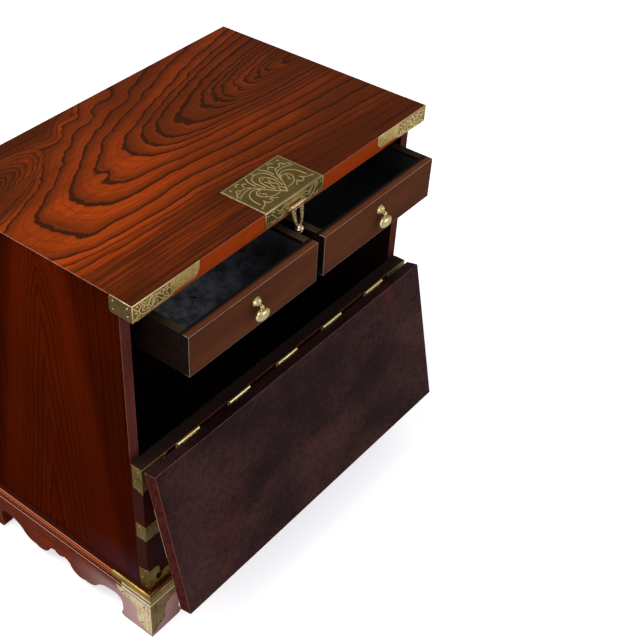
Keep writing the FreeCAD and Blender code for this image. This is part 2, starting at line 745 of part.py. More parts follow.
# Lock on the top board: a plate folded over its front edge, with ears for the hasp
def top_lock():
    half = "(lock_width/2)"
    sheet = body("top_lock_sheet")
    folded = [
        ("-plate_th", "-flange_height"),
        ("0", "-flange_height"),
        ("0", "0"),
        ("lock_depth", "0"),
        ("lock_depth", "plate_th"),
        ("-plate_th", "plate_th"),
    ]
    pad(sheet, "YZ_Plane", folded, "lock_width", offset=f"-{half}")
    pivot = ("-plate_th - hasp_out", "-hasp_drop")
    near = "(hasp_width/2 + hasp_gap)"
    reach = f"({near} + hasp_ear)"
    stem = (pivot[0], "-plate_th")
    rise = ("-hasp_drop - hasp_r", "-hasp_drop + hasp_r")
    pieces = [sheet]
    for label, span in (("left", (f"-{reach}", f"-{near}")), ("right", (near, reach))):
        pieces.append(rod(f"{label}_hasp_ear", "hasp_r", span, *pivot))
        pieces.append(block(f"{label}_hasp_stem", span, stem, rise))
    solid = joined("top_lock_solid", *pieces)
    plate = bored("top_lock_plate", solid, "hasp_pin_r", (f"-{half}", half), *pivot)
    node("top_lock_plate", place(plate, "0", FRONT, TOP))
    node("hasp_pin", rod("hasp_pin", "hasp_pin_r", (f"-{reach}", reach), HASP_Y, HASP_Z))


# Hasp: a barrel, a pierced strap that narrows to a tail, and a ball to lift it by
def hasp():
    half = "(hasp_width/2)"
    strap = body("hasp_strap")
    sides = scaled(HASP_SHARES, half, "hasp_length")
    edge = both_halves([("hasp_tail/2", "-hasp_length"), *sides, (half, "0")])
    pad(strap, "XZ_Plane", edge, "hasp_th", offset="-hasp_th/2")
    eye = f"({sides[0][0]} - hasp_strap)"
    slot = ("slot_width/2", "slot_end - hasp_length")
    pocket(strap, "XZ_Plane", both_halves([slot, *scaled(HASP_EYE_SHARES, eye, "hasp_length")]))
    ball = many_sided("hasp_ball", BALL_SHARES, "ball_r", "ball_r")
    place(ball, "0", "0", "-hasp_length - ball_r + hasp_th/2")
    solid = joined("hasp_solid", strap, rod("hasp_barrel", "hasp_r", (f"-{half}", half)), ball)
    piece = bored("hasp", solid, "hasp_pin_r", ("-hasp_width", "hasp_width"))
    node("hasp", tilt(piece, "-hasp_tilt", HASP_Y, HASP_Z))


def folded_mount(name, front, side, at):
    """A sheet mount bent round a left-hand corner: one outline on the front, one on the side."""
    mount = body(name)
    pad(mount, "XZ_Plane", front, "brass_th")
    pad(mount, "YZ_Plane", side, "brass_th", back=True)
    return place(mount, *at)


def case_mounts():
    top = [("-brass_th", "0"), ("-brass_th", "corner_cut - top_th")]
    side = [
        ("-brass_th", "0"),
        ("-brass_th", "-top_th"),
        ("top_side_arm - corner_cut", "-top_th"),
        ("top_side_arm", "corner_cut - top_th"),
        ("top_side_arm", "-corner_cut"),
        ("top_side_arm - corner_cut", "0"),
    ]
    front = top + scaled(TOP_ARM_SHARES, "top_arm", "top_th")
    mount = folded_mount("left_top_corner_mount", front, side, (f"-{HALF}", FRONT, TOP))
    pair("top_corner_mount", mount)
    for level, sign, z in (("rail", "-1", RAIL), ("lower", "1", "stand_height")):
        rise = f"({sign}*bracket_height)"
        inner = ("-brass_th", "0")
        front = [inner, ("-brass_th", rise), *scaled(BRACKET_SHARES, "bracket_arm", rise)]
        wrap = scaled(WRAP_SHARES, "side_wrap", rise)
        side = [inner, *wrap[:2], ("-brass_th", *wrap[2][1:])]
        mount = folded_mount(f"{level}_corner_bracket", front, side, (f"-{HALF}", FACE, z))
        if level == "lower":
            pocket(mount, "XZ_Plane", scaled(SWIRL_SHARES, "bracket_arm", "bracket_height"))
        couple(f"{level}_corner_mounts", mount)
    front = rectangle(("-brass_th", "strap_arm"), ("-strap_height", "0"))
    side = rectangle(("-brass_th", "side_wrap"), ("-strap_height", "0"))
    at = (f"-{HALF}", FACE, f"{RAIL} - ({RAIL} - {LEDGE})*{STRAP_DROP_SHARE}")
    pair("middle_strap", folded_mount("left_middle_strap", front, side, at))


def skin(owner, section):
    """Bends a strip with this section round the corner of the stand."""
    path = sketch_on(owner, "XY_Plane", "path")
    arm = number("cap_arm")
    corner = FreeCAD.Vector(0, 0, 0)
    path.addGeometry(Part.LineSegment(FreeCAD.Vector(arm, 0, 0), corner), False)
    path.addGeometry(Part.LineSegment(corner, FreeCAD.Vector(0, arm, 0)), False)
    path.addConstraint(Sketcher.Constraint("Coincident", 0, 2, 1, 1))
    pin_point(path, 0, 1, ("cap_arm", "0"))
    pin_point(path, 0, 2, ("0", "0"))
    pin_point(path, 1, 2, ("0", "cap_arm"))
    bend = owner.newObject("PartDesign::AdditivePipe", owner.Name + "_bend")
    bend.Profile = outline(owner, "YZ_Plane", section, "cap_arm")
    bend.Spine = path
    bend.Transition = "Right corner"
    return bend


def stand_mounts():
    cap = body("left_moulding_cap")
    quarter = f"{QUARTER_SHARE}*ovolo"
    lift = "sqrt(0.5)*brass_th"
    low = "brass_th - step_height"
    section = [
        ("ovolo - step_reach", "0"),
        ("-step_reach", "-ovolo", f"{quarter} - step_reach", f"-{quarter}"),
        ("-step_reach", low),
        ("-step_reach - brass_th", low),
        ("-step_reach - brass_th", "-ovolo"),
        (
            "ovolo - step_reach",
            "brass_th",
            f"{quarter} - step_reach - {lift}",
            f"{lift} - {quarter}",
        ),
    ]
    skin(cap, section)
    pair("moulding_cap", place(cap, f"-{HALF}", FACE, "stand_height"))
    shape = scaled(FOOT_SHARES, "foot_arm", LEDGE)
    front = [("-brass_th", LEDGE), ("-brass_th", shape[0][1]), *shape]
    corner = (f"-{STAND_X}", STAND_Y, "0")
    couple("foot_mounts", folded_mount("foot_mount", front, front, corner))


def check():
    """Stops unless every object is sound and every sub-part is a valid shape."""
    for thing in doc.Objects:
        if {"Invalid", "Error"} & set(thing.State):
            raise RuntimeError(f"{thing.Name} failed: {thing.State}")
    for piece in nodes:
        if piece.Shape.isNull() or not piece.Shape.isValid() or not piece.Shape.Solids:
            raise RuntimeError(f"{piece.Label} has no sound shape")


def build():
    top_board()
    side_panels()
    case_boards()
    drawer_bearers()
    stand_mouldings()
    stand_aprons()
    stand_back()
    drop_front()
    hinges()
    drop_front_brass()
    for side, sign in (("left", "-1"), ("right", "1")):
        drawer(side, sign)
        pull(side, sign)
    top_lock()
    hasp()
    case_mounts()
    stand_mounts()
    doc.recompute()
    check()
    os.makedirs("parts", exist_ok=True)
    for piece in nodes:
        piece.Shape.exportStep(f"parts/{piece.Label}.step")
    print(len(nodes), "nodes")


build()
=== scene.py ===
"""Drop-front chest: the finish of its woods and brass, its engraving, nails, pulls and linings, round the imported
frame."""

import math

import bpy
import numpy as np
from bpy.props import FloatProperty, FloatVectorProperty, IntProperty, PointerProperty
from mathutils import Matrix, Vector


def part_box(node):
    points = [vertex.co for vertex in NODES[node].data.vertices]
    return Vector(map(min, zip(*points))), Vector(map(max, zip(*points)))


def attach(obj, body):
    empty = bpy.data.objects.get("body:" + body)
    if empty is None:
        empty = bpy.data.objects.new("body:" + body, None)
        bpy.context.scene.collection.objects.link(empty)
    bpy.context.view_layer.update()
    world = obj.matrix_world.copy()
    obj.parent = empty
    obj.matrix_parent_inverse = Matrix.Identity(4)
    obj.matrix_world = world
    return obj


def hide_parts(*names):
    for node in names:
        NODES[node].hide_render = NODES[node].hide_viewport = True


bl_info = {
    "name": "Drop-Front Chest Dressing",
    "version": (1, 0, 0),
    "blender": (4, 5, 0),
    "location": "3D View > Sidebar > Chest",
    "description": "Gives a packed drop-front chest its wood grain, brass work, nails, pulls and drawer linings",
    "category": "Object",
}

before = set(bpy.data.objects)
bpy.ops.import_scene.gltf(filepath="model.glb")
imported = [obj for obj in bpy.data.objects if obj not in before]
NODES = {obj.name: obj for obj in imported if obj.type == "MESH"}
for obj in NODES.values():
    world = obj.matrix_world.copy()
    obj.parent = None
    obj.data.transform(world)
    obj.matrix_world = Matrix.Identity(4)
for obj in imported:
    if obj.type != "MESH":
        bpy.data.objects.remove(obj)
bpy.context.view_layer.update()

TOP_LOW, TOP_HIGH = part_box("top_board")
PLATE_LOW, PLATE_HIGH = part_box("top_lock_plate")
# Half the case's width, the plane of its front edges, and the thickness of the mounts' sheet.
CASE_SIDE, CASE_FACE, BRASS = 0.305, TOP_LOW.y + 0.0029, 0.0008
# The middle of the hasp's pin, and how far the hasp and the drop front lean outward at rest.
HASP_PIN = np.array([0, -0.15795, 0.612])
HASP_TILT, DROP_FRONT_TILT = math.radians(10), math.radians(13)
HANDS = (("left", -1), ("right", 1))
DARK_INSIDE = (0.010, 0.0045, 0.0035)
# A reach so long that its axis counts for nothing.
FAR = 1e3


# ------------------------------------------------------------------ sizes and colours a user would change

def length(name, description, value):
    return FloatProperty(name=name, description=description, default=value, unit="LENGTH", precision=5)


def colour(name, description, value):
    return FloatVectorProperty(name=name, description=description, subtype="COLOR", size=3, default=value)


class ChestSizes(bpy.types.PropertyGroup):
    relief: length("Relief", "Height of the chased lines over the sheet brass", 0.00042)
    line: length("Line", "Half the width of a chased line", 0.00085)
    cell: length("Cell", "Mesh size of the chased sheets", 0.0005)
    nail: length("Nail", "Radius of a nail's domed head", 0.0013)
    turns: IntProperty(name="Turns", description="Facets round a turned form", default=40, min=12)
    camera_distance: length("Distance", "Camera to the middle of the chest", 1.8795)


class ChestColours(bpy.types.PropertyGroup):
    elm_light: colour("Elm light", "Early wood of the polished elm", (0.35, 0.044, 0.0030))
    elm_mid: colour("Elm mid", "Redder wood between the bands", (0.098, 0.0165, 0.0030))
    elm_dark: colour("Elm dark", "Late wood bands", (0.026, 0.0078, 0.0030))
    side_light: colour("Side light", "Light streaks of the side boards", (0.088, 0.0082, 0.0004))
    side_dark: colour("Side dark", "Dark streaks of the side boards", (0.010, 0.0020, 0.0007))
    stained: colour("Stained", "Inner face of the drop front", (0.026, 0.0098, 0.0090))
    brown: colour("Drawer brown", "Drawer fronts", (0.092, 0.0265, 0.0092))
    lining: colour("Lining", "Flocked lining of the drawers", (0.0060, 0.0060, 0.0070))
    brass: colour("Brass", "Rubbed brass", (0.60, 0.45, 0.17))
    patina: colour("Patina", "Dull ground of the brass", (0.165, 0.108, 0.019))


def sizes():
    return bpy.context.scene.chest_sizes


def colours():
    return bpy.context.scene.chest_colours


def toned(tint, share):
    return [share * c for c in tint]


# ------------------------------------------------------------------ node graph helpers

def reckoned(operation, swapped=False):
    """An arithmetic method of Value that adds the operation's node."""
    def method(self, other=None):
        return self.graph.reckon(operation, *((other, self) if swapped else (self, other)))
    return method


class Value:
    """A node's output in its graph. Arithmetic with it adds nodes."""
    __add__, __radd__ = reckoned("ADD"), reckoned("ADD", True)
    __sub__, __rsub__ = reckoned("SUBTRACT"), reckoned("SUBTRACT", True)
    __mul__, __rmul__ = reckoned("MULTIPLY"), reckoned("MULTIPLY", True)
    __truediv__, __rtruediv__ = reckoned("DIVIDE"), reckoned("DIVIDE", True)
    __pow__, __abs__ = reckoned("POWER"), reckoned("ABSOLUTE")

    def __init__(self, graph, socket):
        self.graph, self.socket = graph, socket


class Graph:
    """Adds nodes to one tree. A Value given to a socket is linked to it, anything else is set on it."""

    def __init__(self, tree):
        self.tree = tree

    def node(self, kind, values=None, **settings):
        node = self.tree.nodes.new("ShaderNode" + kind)
        for key, value in settings.items():
            setattr(node, key, value)
        for key, value in (values or {}).items():
            self.put(node.inputs[key], value)
        return node

    def add(self, kind, values=None, out=0, **settings):
        return Value(self, self.node(kind, values, **settings).outputs[out])

    def outputs(self, node):
        return {socket.name: Value(self, socket) for socket in node.outputs}

    def put(self, socket, value):
        if isinstance(value, Value):
            self.tree.links.new(value.socket, socket)
        elif hasattr(value, "__len__") and len(value) == 3 and socket.type == "RGBA":
            socket.default_value = (*value, 1)
        else:
            socket.default_value = value

    def reckon(self, operation, a, b):
        """One step of arithmetic, on vectors where either value is one."""
        kinds = {value.socket.type for value in (a, b) if isinstance(value, Value)}
        if kinds & {"VECTOR", "RGBA"}:
            return self.vector(operation, a, b or (0, 0, 0))
        return self.math(operation, a, 0.0 if b is None else b)

    def math(self, operation, a, b=0.0, clamp=False):
        return self.add("Math", {0: a, 1: b}, operation=operation, use_clamp=clamp)

    def vector(self, operation, a, b=(0, 0, 0), out=0):
        return self.add("VectorMath", {0: a, 1: b}, out=out, operation=operation)

    def split(self, vector):
        return list(self.outputs(self.node("SeparateXYZ", {0: vector})).values())

    def mix(self, mask, a, b, blend="MIX"):
        return self.add("Mix", {0: mask, 6: a, 7: b}, out=2, data_type="RGBA", blend_type=blend,
                        clamp_result=blend == "MULTIPLY")

    def laid(self, base, *layers):
        """The base with each (mask, colour) laid over it in turn."""
        for mask, tint in layers:
            base = self.mix(mask, base, tint)
        return base

    def painted_light_lines(self, base, height, lines, core):
        """The base with painted highlight and shade lines at levels, each (height, half-width, colour), at full
        strength over the core's share.
        """
        return self.laid(base, *((self.ramp(abs(height - middle), half, core * half, 0.0, 0.85), tint)
                                 for middle, half, tint in lines))

    def noise(self, vector, scale, detail=2.0, rough=0.5, out=0):
        return self.add("TexNoise", {"Vector": vector, "Scale": scale, "Detail": detail, "Roughness": rough}, out=out)

    def waver(self, vector, scale, detail, rough):
        """A vector of noise about zero."""
        return self.noise(vector, scale, detail, rough, out=1) - (0.5, 0.5, 0.5)

    def ramp(self, value, low, high, to_low=0.0, to_high=1.0, shape="SMOOTHSTEP"):
        return self.add("MapRange", {0: value, 1: low, 2: high, 3: to_low, 4: to_high}, interpolation_type=shape)

    def curve(self, value, points):
        """A smooth function of a value from 0 to 1, through (place, height) points."""
        node = self.node("FloatCurve", {"Value": value})
        line = node.mapping.curves[0]
        for place, height in points[1:-1]:
            line.points.new(place, height)
        line.points[0].location, line.points[-1].location = points[0], points[-1]
        for point in line.points:
            point.handle_type = "AUTO_CLAMPED"
        node.mapping.update()
        return Value(self, node.outputs[0])

    def bell(self, vector, centre, reach):
        """1 at the (x, y) centre, falling off as exp(-d^2), with d measured in the (x, y) reach."""
        away = (vector - (*centre, 0)) / (*reach, FAR)
        return self.math("EXPONENT", self.vector("DOT_PRODUCT", away, away, out=1) * -1.0)

    def group(self, tree, values):
        return self.outputs(self.node("Group", values, node_tree=tree))

    def place(self):
        return self.add("TexCoord", out="Object")

    def turned(self, vector, centre, turn):
        """A place measured from the centre, then turned."""
        return self.add("VectorRotate", {"Vector": vector - centre, "Rotation": turn}, rotation_type="EULER_XYZ")

    def piece_normal(self):
        """The face's own direction in the piece's rest frame, so that it turns with the piece at a pose."""
        return self.add("VectorTransform", {0: self.add("NewGeometry", out="True Normal")}, vector_type="NORMAL",
                        convert_from="WORLD", convert_to="OBJECT")

    def along(self, direction, axes):
        """1 where the direction lies along the marked axes, 0 where it lies across them."""
        return self.ramp(self.vector("DOT_PRODUCT", direction, axes, out=1), 0.55, 0.7)

    def facing(self, axes):
        return self.along(abs(self.piece_normal()), axes)


class Finish(Graph):
    """A material with one Principled shader."""

    def __init__(self, name):
        self.material = bpy.data.materials.new(name)
        self.material.use_nodes = True
        super().__init__(self.material.node_tree)
        self.tree.nodes.clear()
        self.shader = self.node("BsdfPrincipled")
        self.put(self.node("OutputMaterial").inputs[0], Value(self, self.shader.outputs[0]))

    def done(self, sockets, height=None, strength=0.0, depth=0.0, normal=None):
        """Fills the shader's sockets, with a bump of the height where there is one, and gives the material."""
        if height:
            values = {"Height": height, "Strength": strength, "Distance": depth}
            if normal:
                values["Normal"] = normal
            sockets["Normal"] = self.add("Bump", values)
        for key, value in sockets.items():
            self.put(self.shader.inputs[key], value)
        return self.material


def node_group(name, inputs, outputs, build):
    """A shader node group, made once. inputs gives each socket its default. Sockets called Vector or Normal are
    vectors, the others numbers."""
    made = bpy.data.node_groups.get(name)
    if made:
        return made
    tree = bpy.data.node_groups.new(name, "ShaderNodeTree")
    for side, labels in (("INPUT", inputs), ("OUTPUT", outputs)):
        for label in labels:
            kind = "Vector" if label in ("Vector", "Normal") else "Float"
            socket = tree.interface.new_socket(name=label, in_out=side, socket_type="NodeSocket" + kind)
            if side == "INPUT" and kind == "Float":
                socket.default_value = inputs[label]
    graph = Graph(tree)
    sink = tree.nodes.new("NodeGroupOutput").inputs
    for label, value in build(graph, graph.outputs(tree.nodes.new("NodeGroupInput"))).items():
        graph.put(sink[label], value)
    return tree


# Figures of the boards. Places along a board, sideways places and half-widths are shares of its figured length.
# middle, tip, near and far run along the board: the arches' middle line, the radius of the ring that turns there,
# and the half-width of the unit ring on either side. rings gives the ring number at a radius. Each swell lifts
# the radius round a (place, sideways) point by an amount, over a (half-length, half-width) reach. glow is the
# point and reach of a painted pool of light, where the board is painted paler as if lit there. power is the
# arches' exponent on the far and near side: 1 gives straight limbs that meet in a point, 2 an ellipse, 3 a blunter
# nose. corner is the centre, turn and reach of a set of oval rings of their own.
FIGURES = {
    "Arched": {
        "middle": ((0, 0.300), (0.075, 0.292), (0.18, 0.283), (0.29, 0.262), (0.40, 0.238), (0.64, 0.235), (1, 0.240)),
        "tip": ((0, 1.14), (0.075, 1.0), (0.178, 0.80), (0.265, 0.66), (0.385, 0.53), (0.44, 0.46), (0.485, 0.41),
                (0.555, 0.34), (0.645, 0.27), (0.685, 0.235), (0.72, 0.205), (0.76, 0.17), (0.80, 0.14),
                (0.84, 0.115), (0.88, 0.09), (0.93, 0.06), (1, 0.02)),
        "near": ((0, 0.152), (0.2, 0.155), (0.4, 0.182), (0.7, 0.212), (1, 0.225)),
        "far": ((0, 0.095), (0.12, 0.100), (0.25, 0.132), (0.40, 0.188), (0.56, 0.245), (0.76, 0.33), (1, 0.42)),
        "rings": ((0, 0), (0.06, 1), (0.09, 2), (0.115, 3), (0.14, 4), (0.17, 5), (0.205, 6), (0.235, 7), (0.27, 8),
                  (0.34, 9), (0.41, 10), (0.46, 11), (0.53, 12), (0.66, 13), (0.80, 14), (1, 15), (1.2, 16),
                  (1.32, 17.4), (2, 23), (3, 32)),
        "swells": (((0.20, 0.055), (0.095, 0.068), -0.56), ((0.290, 0.266), (0.020, 0.015), 0.038),
                   ((0.105, 0.40), (0.05, 0.03), -0.07), ((0.32, 0.05), (0.03, 0.06), 0.10),
                   ((0.425, 0.045), (0.03, 0.05), 0.12), ((0.545, 0.05), (0.03, 0.04), 0.10)),
        "glow": ((0.15, 0.47), (0.27, 0.16)),
        "power": (2.0, 3.0),
        "corner": ((0.07, 0.13), 0.24, (0.206, 0.066)),
    },
    "Upright": {
        "middle": ((0, 0.350), (0.3, 0.335), (0.6, 0.315), (1, 0.290)),
        "tip": ((0, 1.30), (0.11, 1.0), (0.30, 0.80), (0.53, 0.62), (0.78, 0.42), (1, 0.25)),
        "near": ((0, 0.075), (0.5, 0.105), (1, 0.135)),
        "far": ((0, 0.060), (0.5, 0.085), (1, 0.115)),
        "rings": ((0, 0), (0.25, 2), (0.42, 3), (0.62, 4.3), (0.8, 5.6), (1, 7), (1.3, 9), (2, 16), (3, 27)),
        "swells": (((0.20, 0.45), (0.12, 0.04), 0.12),),
        "glow": ((0.10, 0.35), (0.20, 0.07)),
        "power": (1.25, 1.25),
    },
    "Straight": {
        "middle": ((0, 0.10), (0.5, 0.14), (1, 0.09)),
        "tip": ((0, 0.55), (0.35, 0.72), (0.7, 0.50), (1, 0.62)),
        "near": ((0, 0.14), (0.5, 0.15), (1, 0.13)),
        "far": ((0, 0.13), (0.5, 0.12), (1, 0.14)),
        "rings": ((0, 0), (0.5, 4), (1, 10), (2, 26), (3, 43)),
        "swells": (),
        "glow": ((0.2, 0.1), (0.4, 0.4)),
        "power": (2.0, 2.0),
    },
}

# Turns metres along the grain into shares of the figured length, which run the other way across a board.
FIGURED_LENGTH = 0.62
SHARES = (1 / FIGURED_LENGTH, -1 / FIGURED_LENGTH, 1 / FIGURED_LENGTH)
# The curves of a figure work in values from 0 to 1, so its radii and ring numbers are scaled by these.
TIP_REACH, RADIUS_REACH, RING_REACH = 2.0, 3.0, 50.0

GRAIN_ALONG_X = (0, 0, 0)
GRAIN_ALONG_Y = (0, 0, math.radians(-90))
GRAIN_DOWN = (0, math.radians(-90), 0)
FACE_FRONT = (math.radians(90), 0, 0)
FRONT_ORIGIN = (-0.31, 0, 0.40)


# ------------------------------------------------------------------ effects that several finishes share

def growth_rings(figure):
    """Rings of a flat-sawn board, nested arches with long limbs. The radius at a point is
    ((across / spread)^n + tip^n)^(1/n), with the figure's power n. The dark band of each ring is sharp on its
    outer side and fades inward."""
    curves = FIGURES[figure]

    def build(g, source):
        at = source["Vector"]
        drift = g.waver(at * (0.55, 1.0, 1.0), 5.0, 2.5, 0.55)
        ragged = g.waver(at * (0.7, 1.0, 1.0), 34.0, 3.0, 0.6)
        further = g.ramp(g.split(at)[0], 0.3, 1.0, 0.036, 0.085)
        bent = at + drift * (0.050, 0.022, 0.0) + ragged * g.add("CombineXYZ", {0: further, 1: 0.008})
        place, sideways, _ = g.split(bent)
        across = sideways - g.curve(place, curves["middle"])
        near = g.math("GREATER_THAN", across)
        spread = near * g.curve(place, curves["near"]) + (1.0 - near) * g.curve(place, curves["far"])
        far_power, near_power = curves["power"]
        power = far_power + near * (near_power - far_power)
        tip = g.curve(place, [(x, r / TIP_REACH) for x, r in curves["tip"]]) * TIP_REACH
        radius = ((abs(across) / spread) ** power + tip ** power) ** (1.0 / power)
        for centre, reach, lift in curves["swells"]:
            radius = radius + g.bell(bent, centre, reach) * lift
        share = g.math("SQRT", g.math("MAXIMUM", radius) / RADIUS_REACH)
        phase = g.curve(share, [((r / RADIUS_REACH) ** 0.5, n / RING_REACH) for r, n in curves["rings"]]) * RING_REACH
        if "corner" in curves:
            centre, angle, reach = curves["corner"]
            off = g.add("VectorRotate", {"Vector": bent - (*centre, 0), "Angle": angle}, rotation_type="Z_AXIS")
            apart = g.vector("LENGTH", off / (*reach, FAR), out=1)
            phase = phase + g.math("LESS_THAN", apart, 1.0) * (apart * 10.0 + 5.0 - phase)
        chance = g.add("TexWhiteNoise", {"W": g.math("FLOOR", phase)}, noise_dimensions="1D")
        width = (0.19 + g.ramp(phase, 14.0, 8.0) * 0.20) * g.ramp(chance, 0, 1, 0.75, 1.35, "LINEAR")
        past = 1.0 - g.math("FRACT", phase)
        edge = g.ramp(past, 0.0, 0.025)
        fine = abs(g.math("FRACT", phase * 4.0) - 0.5)
        return {"Band": g.ramp(past, width * 0.5, width, 1.0, 0.0) * edge,
                "Fade": g.ramp(past, width, width * 3.2, 1.0, 0.0) * edge,
                "Lines": g.ramp(fine, 0.30, 0.48), "Ring": phase, "Chance": chance}

    return node_group(f"Growth Rings {figure}", {"Vector": None}, ("Band", "Fade", "Lines", "Ring", "Chance"), build)


def open_pores():
    """Short dark streaks along the grain: noise drawn out along X, kept where it is high, at two lengths."""
    def build(g, source):
        long = g.noise(source["Vector"] * (14.0, 620.0, 620.0), 1.0, 3.0, 0.6)
        short = g.noise(source["Vector"] * (70.0, 1500.0, 1500.0), 1.0, 2.0, 0.5)
        streak = long * 0.65 + short * 0.35
        return {"Streak": streak, "Pore": g.ramp(streak, 0.50, 0.66)}

    return node_group("Open Pores", {"Vector": None}, ("Streak", "Pore"), build)


def wear_and_highlight_edges():
    """Where an arris has been worn, and where a highlight is painted along it: the angle between the face's normal
    and the one rounded over the radius, broken up by noise. Even takes the noise away."""
    def build(g, source):
        rounded = g.add("Bevel", {"Radius": source["Radius"]}, samples=6)
        turn = 1.0 - g.vector("DOT_PRODUCT", rounded, g.add("NewGeometry", out="True Normal"), out=1)
        rough = g.ramp(g.noise(g.place(), 90.0, 4.0, 0.65), 0.3, 0.75, 0.35, 1.5, "LINEAR")
        rough = rough + source["Even"] * (1.0 - rough)
        return {"Wear And Highlight": g.ramp(turn * rough, 0.02, 0.16) * source["Amount"], "Normal": rounded}

    return node_group("Wear And Highlight Edges", {"Radius": 0.0012, "Amount": 1.0, "Even": 0.0}, ("Wear And Highlight", "Normal"), build)


def brass_age():
    """Age of sheet brass: dull ground in broad clouds and fine pits, with brown spots."""
    def build(g, source):
        at = source["Vector"]
        pits = g.noise(at, 900.0, 3.0, 0.6)
        return {"Dull": g.ramp(g.noise(at, 42.0, 4.0, 0.6) * 0.75 + pits * 0.35, 0.38, 0.72),
                "Spots": g.ramp(g.noise(at, 210.0, 3.0, 0.6), 0.60, 0.72), "Pits": pits}

    return node_group("Brass Age", {"Vector": None}, ("Dull", "Spots", "Pits"), build)


def chased_vine():
    """Chased scrolls: the borders between the cells of a bent cellular pattern, which run in arcs and curls."""
    def build(g, source):
        cells = {"Vector": source["Vector"] + g.waver(source["Vector"], 95.0, 1.0, 0.5) * (0.012, 0.012, 0.012),
                 "Scale": source["Scale"]}
        line = g.ramp(g.add("TexVoronoi", cells, feature="DISTANCE_TO_EDGE"), 0.05, 0.12, 1.0, 0.0)
        curl = g.ramp(abs(g.add("TexVoronoi", cells, feature="F1") - 0.27), 0.03, 0.075, 1.0, 0.0)
        return {"Line": g.math("MAXIMUM", line, curl * 0.8)}

    return node_group("Chased Vine", {"Vector": None, "Scale": 95.0}, ("Line",), build)


# ------------------------------------------------------------------ finishes

def figured_wood(name, figure, origin, turn, tones, finish, bands=0.92, fine=0.3, shade=0.5, edge=None, painted_sheen=None,
                 worn_and_lit=(0.62, 0.30, 0.20), even=0.0, lines=(), low=None, inner=None):
    """Polished wood with its board's ring figure, pores, warm and cool patches, painted light and shade, and worn
    arrises with a painted highlight. The figure starts at the origin. tones: light, middle and dark wood. finish:
    roughness, specular, coat, wear_and_highlight. bands and fine: the strength of the rings' dark bands and of the
    lines between them. shade: how far the tone is painted darker along the figure, as painted shade. edge: the
    (axes, colour) of faces that show no figure. painted_sheen: the amount and colour of a painted sheen that pales
    the wood toward the front corners, and the heights between which it sets in. worn_and_lit: the colour of a worn
    arris with its painted highlight. even: how far the wear and painted highlight go without noise. lines: the
    (height, half-width, colour) of painted highlight and shade lines along a moulding. low: the heights between
    which the plain faces darken and the wear and painted highlight end. inner: the distance from the middle inside
    which side faces are plain and dark."""
    light, mid, dark = tones
    roughness, specular, coat, wear_and_highlight = finish
    g = Finish(name)
    grain = g.turned(g.place(), origin, turn)
    shares = grain * SHARES
    ring = g.group(growth_rings(figure), {"Vector": shares})
    pores = g.group(open_pores(), {"Vector": grain})
    patch = g.noise(grain * (0.45, 1.0, 1.0), 9.0, 3.0, 0.55)
    # Painted light and shade: the tone is painted darker along the figure, and paler round the figure's painted pool
    # of light.
    tone = g.ramp(patch, 0.3, 0.7, 0.12, 0.60) + g.ramp(g.split(shares)[0], 0.0, 1.0, 0.0, shade, "LINEAR")
    tone = tone - g.bell(shares, *FIGURES[figure]["glow"]) * 0.62
    if "corner" in FIGURES[figure]:
        tone = tone + g.bell(shares, FIGURES[figure]["corner"][0], (0.17, 0.12)) * 0.55
    outer = g.ramp(ring["Ring"], 15.8, 20.0)
    streak = g.noise(grain * (2.4, 210.0, 210.0), 1.0, 4.0, 0.62)
    streak = g.ramp(streak, 0.46, 0.60) * g.ramp(outer, 0, 1, 0.25, 1.1)
    base = g.laid(
        g.mix(g.math("ADD", tone, outer * 0.55, clamp=True), light, mid),
        (outer * g.ramp(patch, 0.3, 0.75, 0.35, 0.85), toned(mid, 0.5)),
        (g.ramp(ring["Chance"], 0.2, 0.9) * 0.22, mid),
        (ring["Lines"] * (fine * g.ramp(outer, 0, 1, 0.8, 0.2)), dark),
        (g.math("MULTIPLY", streak, 2.2 * fine, clamp=True), dark),
        (g.ramp(pores["Streak"], 0.46, 0.62) * fine, dark),
        (ring["Fade"] * (0.68 * bands), [0.5 * (a + b) for a, b in zip(mid, dark)]),
        (ring["Band"] * g.ramp(outer, 0, 1, bands, 0.55 * bands), dark))
    x, y, z = g.split(g.place())
    if edge:
        plain = g.mix(g.ramp(pores["Streak"], 0.42, 0.62) * 0.5, edge[1], toned(edge[1], 0.45))
        if low:
            plain = g.mix(g.ramp(z, *low), plain, toned(edge[1], 0.25))
        base = g.mix(g.facing(edge[0]), base, plain)
    # Painted sheen: toward the front corners, between the given heights, the wood is painted paler, standing for
    # reflected light.
    if painted_sheen:
        amount, pale, upper, lower = painted_sheen
        fore = g.ramp(y, 0.03, -0.16) * g.ramp(abs(x), 0.20, 0.31)
        base = g.mix(fore * g.ramp(patch, 0.2, 0.7, 0.75, 1.0) * amount * g.ramp(z, upper, lower), base, pale)
    # Painted highlight and shade lines at the given heights.
    base = g.painted_light_lines(base, z, lines, 0.4)
    if inner:
        base = g.mix(g.ramp(abs(x), inner + 0.001, inner) * g.facing((1, 0, 0)), base, DARK_INSIDE)
    if low:
        wear_and_highlight = g.ramp(z, *low, wear_and_highlight, 0.0)
    # Arris wear, with a painted highlight along each arris.
    edges = g.group(wear_and_highlight_edges(), {"Amount": wear_and_highlight, "Even": even})
    return g.done({"Base Color": g.mix(edges["Wear And Highlight"], base, worn_and_lit), "Roughness": roughness + pores["Pore"] * 0.12,
                   "Specular IOR Level": specular, "Coat Weight": coat - ring["Band"] * (coat * 0.4),
                   "Coat Roughness": 0.16},
                  0.0 - (pores["Pore"] * 0.6 + ring["Band"] * 0.4), 0.28, 0.0004, edges["Normal"])


